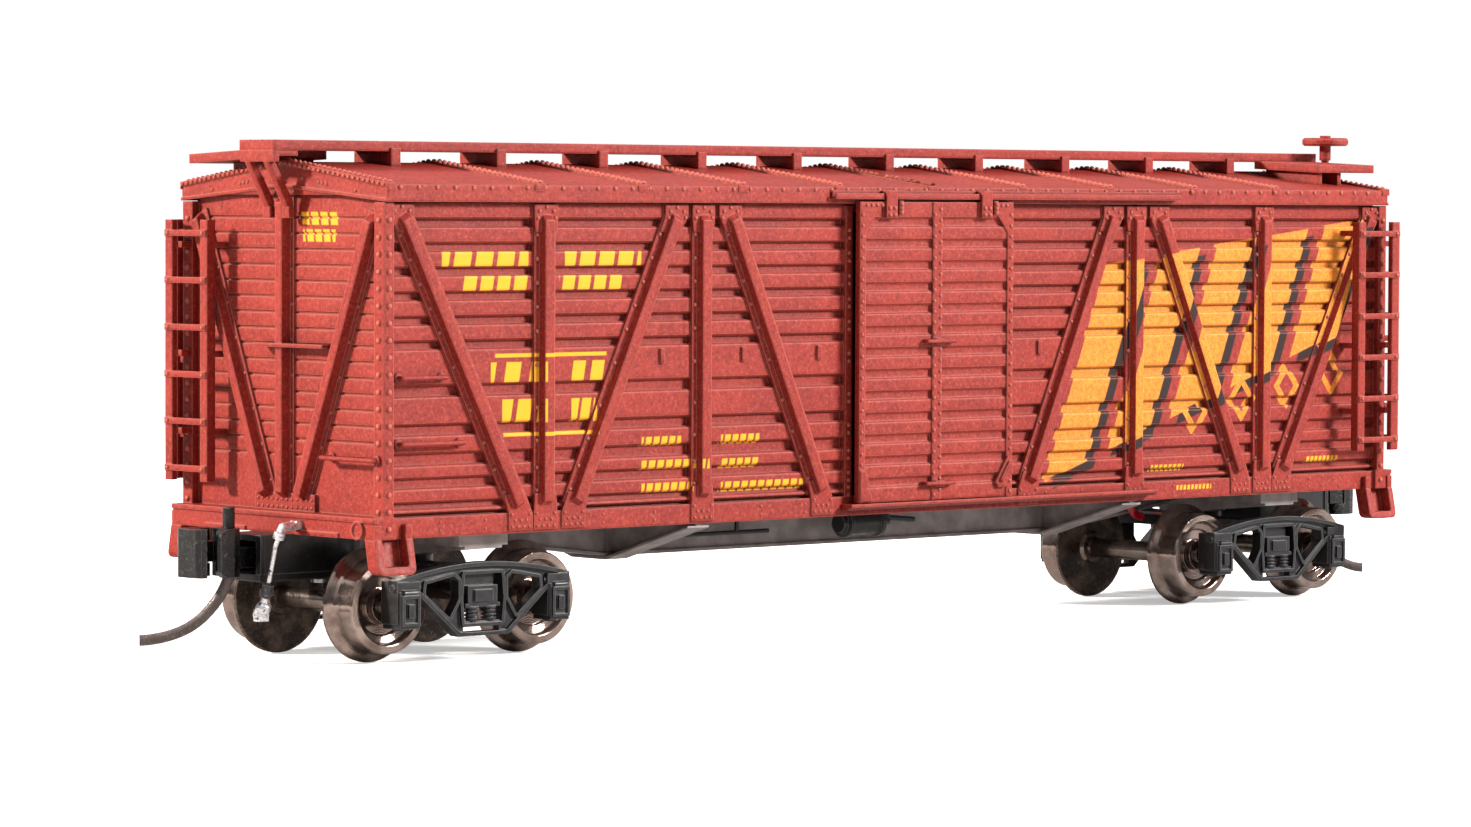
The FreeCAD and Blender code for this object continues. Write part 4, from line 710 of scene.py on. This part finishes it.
# levels of the eave and the ridge, and half the roof's width
EAVE, RIDGE, ROOF_EDGE = 25.17, 26.38, 9.02
ROOF_SLOPE = (RIDGE - EAVE) / ROOF_EDGE
SEAM_COUNT, SEAM_PITCH, SEAM_HALF_GAUGE = 5, 7.42, 0.19
SEAM_START, SEAM_STOP, SEAM_RIVET_PITCH = -8.85, -0.2, 0.43
EAVE_ROW_Z, EAVE_ROW_END, EAVE_ROW_PITCH = 25.02, 39.4, 1.25
VERGE_X = -39.84
GABLE_EDGE_END, GABLE_EDGE_PITCH = 8.9, 0.42
GABLE_RIVETS_Y = (1.7, 3.1, 3.45, 3.8, 6.3)


def roof_rivets():
    """Rows on the seam caps, under the eaves and round the gable edges."""
    pile = Pile()

    def along_slope(x, size):
        for y in levels(SEAM_START, SEAM_STOP, SEAM_RIVET_PITCH):
            rivet_pair(pile, roof_skin, (x, y, OUTSIDE_Z), FROM_ABOVE, *size)
            rivet_pair(pile, roof_skin, (x, -y, OUTSIDE_Z), FROM_ABOVE, *size)

    def on_gable(y, below_ridge, size):
        z = RIDGE - below_ridge - ROOF_SLOPE * abs(y)
        rivet_pair(pile, roof_skin, (OUTSIDE_X, y, z), FROM_END, *size)

    for x in levels(0.1 - EAVE_ROW_END, EAVE_ROW_END, EAVE_ROW_PITCH):
        rivet_pair(pile, roof_skin, (x, OUTSIDE_Y, EAVE_ROW_Z), FROM_SIDE, *EAVE_RIVET)
    for seam in range(SEAM_COUNT):
        along_slope(seam * SEAM_PITCH - SEAM_HALF_GAUGE, SEAM_RIVET)
        along_slope(seam * SEAM_PITCH + SEAM_HALF_GAUGE, SEAM_RIVET)
    along_slope(VERGE_X, VERGE_RIVET)
    for y in levels(0.1 - GABLE_EDGE_END, GABLE_EDGE_END, GABLE_EDGE_PITCH):
        on_gable(y, 0.04, GABLE_EDGE_RIVET)
    for sign in (-1, 1):
        for y in GABLE_RIVETS_Y:
            on_gable(sign * y, 0.68, GABLE_RIVET)
    pile.finish("roof_rivets", "car_body")


# rivets stand only on the raised frame of the door, whose face lies between these planes
DOOR_FRAME_NEAR, DOOR_FRAME_FAR = -9.40, -9.50
DOOR_EDGE_X, DOOR_MIDDLE_X = 6.0, 0.24
DOOR_ROW_START, DOOR_ROW_TOP, DOOR_ROW_PITCH = 7.5, 24.2, 0.62
DOOR_GUSSET_RIVETS_X, DOOR_GUSSET_Z = (4.45, 4.85, 5.25, 5.65), 24.17
HANGERS_X = (-3.85, 3.85)
HANGER_BOLTS = [(-0.2, 23.62), (0.2, 23.62), (-0.2, 24.0), (0.2, 24.0),
                (0.7, 23.75), (0.7, 24.0), (0.7, 24.25)]


def door_rivets():
    right, left = Pile(), Pile()
    skin = surface_of("door_right")

    def drop_on_both(x, z, size, frame_only):
        place, normal = landed(skin, (x, OUTSIDE_Y, z), FROM_SIDE)
        if frame_only and (place is None or not DOOR_FRAME_FAR <= place.y <= DOOR_FRAME_NEAR):
            return
        right.dome(place, normal, *size)
        left.dome(half_turned(place), half_turned(normal), *size)

    for z in levels(DOOR_ROW_START, DOOR_ROW_TOP, DOOR_ROW_PITCH):
        drop_on_both(-DOOR_EDGE_X, z, PLAIN_RIVET, True)
        drop_on_both(DOOR_EDGE_X, z, PLAIN_RIVET, True)
        drop_on_both(-DOOR_MIDDLE_X, z, PLAIN_RIVET, True)
        drop_on_both(DOOR_MIDDLE_X, z + 0.3, PLAIN_RIVET, True)
    for x in DOOR_GUSSET_RIVETS_X:
        drop_on_both(-x, DOOR_GUSSET_Z, PLAIN_RIVET, True)
        drop_on_both(x, DOOR_GUSSET_Z, PLAIN_RIVET, True)
    for hanger in HANGERS_X:
        for dx, z in HANGER_BOLTS:
            drop_on_both(hanger + dx, z, HANGER_BOLT, False)
    right.finish("door_rivets_right", "sliding_door_right")
    left.finish("door_rivets_left", "sliding_door_left")


RUNG_START, RUNG_PITCH, RUNG_COUNT = 9.62, 2.573, 6
STILE_MIDDLE = 0.31


def ladder_bolts():
    """A bolt at both ends of each rung; rungs are counted from the lowest."""
    pile = Pile()
    side, end = surface_of("side_ladder_b"), surface_of("end_ladder_b")
    side_low, side_high = (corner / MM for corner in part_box("side_ladder_b"))
    end_low, end_high = (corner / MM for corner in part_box("end_ladder_b"))
    for rung in range(RUNG_COUNT):
        z = RUNG_START + rung * RUNG_PITCH
        for x in (side_low.x + STILE_MIDDLE, side_high.x - STILE_MIDDLE):
            rivet_pair(pile, side, (x, OUTSIDE_Y, z), FROM_SIDE, *LADDER_BOLT)
        for y in (end_low.y + STILE_MIDDLE, end_high.y - STILE_MIDDLE):
            rivet_pair(pile, end, (-OUTSIDE_X, y, z), (-1, 0, 0), *LADDER_BOLT)
    pile.finish("ladder_bolts", "car_body")


side_rivets()
end_rivets()
roof_rivets()
door_rivets()
ladder_bolts()

# ---------------------------------------------------------------- stage, light and camera

# the floor's radius, and the distances between which it fades to white, in metres
FLOOR_RADIUS = 6.0
FADE_START, FADE_END = 0.075, 0.30
FLOOR_SIDES = 64
FLOOR_GLOW = 0.42
FLOOR_BOUNCE = (0.50, 0.49, 0.48)
# strength of the air's light
AIR_AT_HORIZON, AIR_OVERHEAD = 0.05, 1.12


def floor_material():
    """Pale and softly lit near the car, white further out, a dimmer grey as light, clear from below."""
    s = Shader("pale_floor")
    tone = s.mix(s.patches(0.02, 2.0, 0.5, 0.3, 0.7), srgb(246, 246, 246), srgb(250, 250, 250))
    lit = s.node("ShaderNodeBsdfDiffuse", {"Color": tone, "Roughness": 0.5})
    glow = s.node("ShaderNodeEmission", {"Strength": FLOOR_GLOW})
    near = s.node("ShaderNodeAddShader", {0: lit.outputs[0], 1: glow.outputs[0]})
    white = s.node("ShaderNodeEmission", {"Strength": 1.0})
    distance = s.node("ShaderNodeVectorMath", {0: s.mm}, operation="LENGTH").outputs["Value"]
    far = s.step(distance, FADE_START / MM, FADE_END / MM)
    seen = s.node("ShaderNodeMixShader", {0: far, 1: near.outputs[0], 2: white.outputs[0]})
    bounce = s.node("ShaderNodeBsdfDiffuse", {"Color": FLOOR_BOUNCE + (1.0,)})
    camera_ray = s.node("ShaderNodeLightPath").outputs["Is Camera Ray"]
    upper = s.node("ShaderNodeMixShader", {0: camera_ray, 1: bounce.outputs[0], 2: seen.outputs[0]})
    clear = s.node("ShaderNodeBsdfTransparent")
    either_side = {0: s.geometry["Backfacing"], 1: upper.outputs[0], 2: clear.outputs[0]}
    return s.output(s.node("ShaderNodeMixShader", either_side))


def studio_floor():
    """A round floor under the wheels."""
    angles = [2 * math.pi * side / FLOOR_SIDES for side in range(FLOOR_SIDES)]
    rim = [(FLOOR_RADIUS * math.cos(angle), FLOOR_RADIUS * math.sin(angle), cad_low.z) for angle in angles]
    mesh = bpy.data.meshes.new("studio_floor")
    mesh.from_pydata(rim, [], [list(range(FLOOR_SIDES))])
    mesh.materials.append(floor_material())
    mesh.shade_smooth()
    piece = bpy.data.objects.new("studio_floor", mesh)
    bpy.context.scene.collection.objects.link(piece)


def area_light(name, place, target, size, power, colour):
    data = bpy.data.lights.new(name, "AREA")
    data.shape = "RECTANGLE"
    data.size, data.size_y = size
    data.energy = power
    data.color = colour
    lamp = bpy.data.objects.new(name, data)
    bpy.context.scene.collection.objects.link(lamp)
    lamp.location = place
    lamp.rotation_euler = (Vector(target) - Vector(place)).to_track_quat("-Z", "Y").to_euler()


def studio_air():
    """White for the camera; as light it is dim at the horizon and bright overhead."""
    world = bpy.data.worlds.new("studio_air")
    world.use_nodes = True
    tree = world.node_tree
    background = tree.nodes["Background"]
    background.inputs["Color"].default_value = (1, 1, 1, 1)

    def added(kind, **inputs):
        node = tree.nodes.new(kind)
        for key, value in inputs.items():
            socket = node.inputs[key.replace("_", " ")]
            if isinstance(value, bpy.types.NodeSocket):
                tree.links.new(value, socket)
            else:
                socket.default_value = value
        return node

    direction = added("ShaderNodeTexCoord").outputs["Generated"]
    height = added("ShaderNodeSeparateXYZ", Vector=direction).outputs["Z"]
    lit = added("ShaderNodeMapRange", Value=height, From_Min=0.05, From_Max=0.85,
                To_Min=AIR_AT_HORIZON, To_Max=AIR_OVERHEAD).outputs[0]
    seen = added("ShaderNodeLightPath").outputs["Is Camera Ray"]
    strength = added("ShaderNodeMapRange", Value=seen, To_Min=lit, To_Max=1.0).outputs[0]
    tree.links.new(strength, background.inputs["Strength"])
    bpy.context.scene.world = world


def lights():
    area_light("key_right_front", (0.30, -0.44, 0.26), (0.0, 0.0, 0.016), (0.14, 0.12), 6.2,
               (1.0, 0.97, 0.94))
    area_light("key_left_end", (-0.46, 0.26, 0.24), (-0.03, 0.0, 0.015), (0.05, 0.05), 6.4,
               (1.0, 0.88, 0.78))

CAMERA_PLACE = Vector((-211.6, -223.3, 24.56)) * MM
CAMERA_YAW = math.radians(42.606)
CAMERA_PITCH = math.radians(-2.358)
CAMERA_ROLL = math.radians(0.272)
SENSOR_WIDTH = 36.0
LENS = 127.66
SHIFT = (-0.0074, -0.0008)


def camera():
    """Looks at the near side and end; yaw turns from +Y towards +X, pitch is up, roll is anticlockwise."""
    forward = Vector((math.sin(CAMERA_YAW) * math.cos(CAMERA_PITCH),
                      math.cos(CAMERA_YAW) * math.cos(CAMERA_PITCH), math.sin(CAMERA_PITCH)))
    right = Vector((math.cos(CAMERA_YAW), -math.sin(CAMERA_YAW), 0))
    up = right.cross(forward)
    rolled_right = right * math.cos(CAMERA_ROLL) + up * math.sin(CAMERA_ROLL)
    rolled_up = up * math.cos(CAMERA_ROLL) - right * math.sin(CAMERA_ROLL)
    data = bpy.data.cameras.new("photo_camera")
    data.sensor_width = SENSOR_WIDTH
    data.lens = LENS
    data.shift_x, data.shift_y = SHIFT
    data.clip_start, data.clip_end = 0.01, 20
    eye = bpy.data.objects.new("photo_camera", data)
    bpy.context.scene.collection.objects.link(eye)
    turn = Matrix((rolled_right, rolled_up, -forward)).transposed()
    eye.matrix_world = Matrix.Translation(CAMERA_PLACE) @ turn.to_4x4()
    bpy.context.scene.camera = eye


studio_floor()
lights()
studio_air()
camera()
bpy.context.scene.view_settings.view_transform = "Standard"
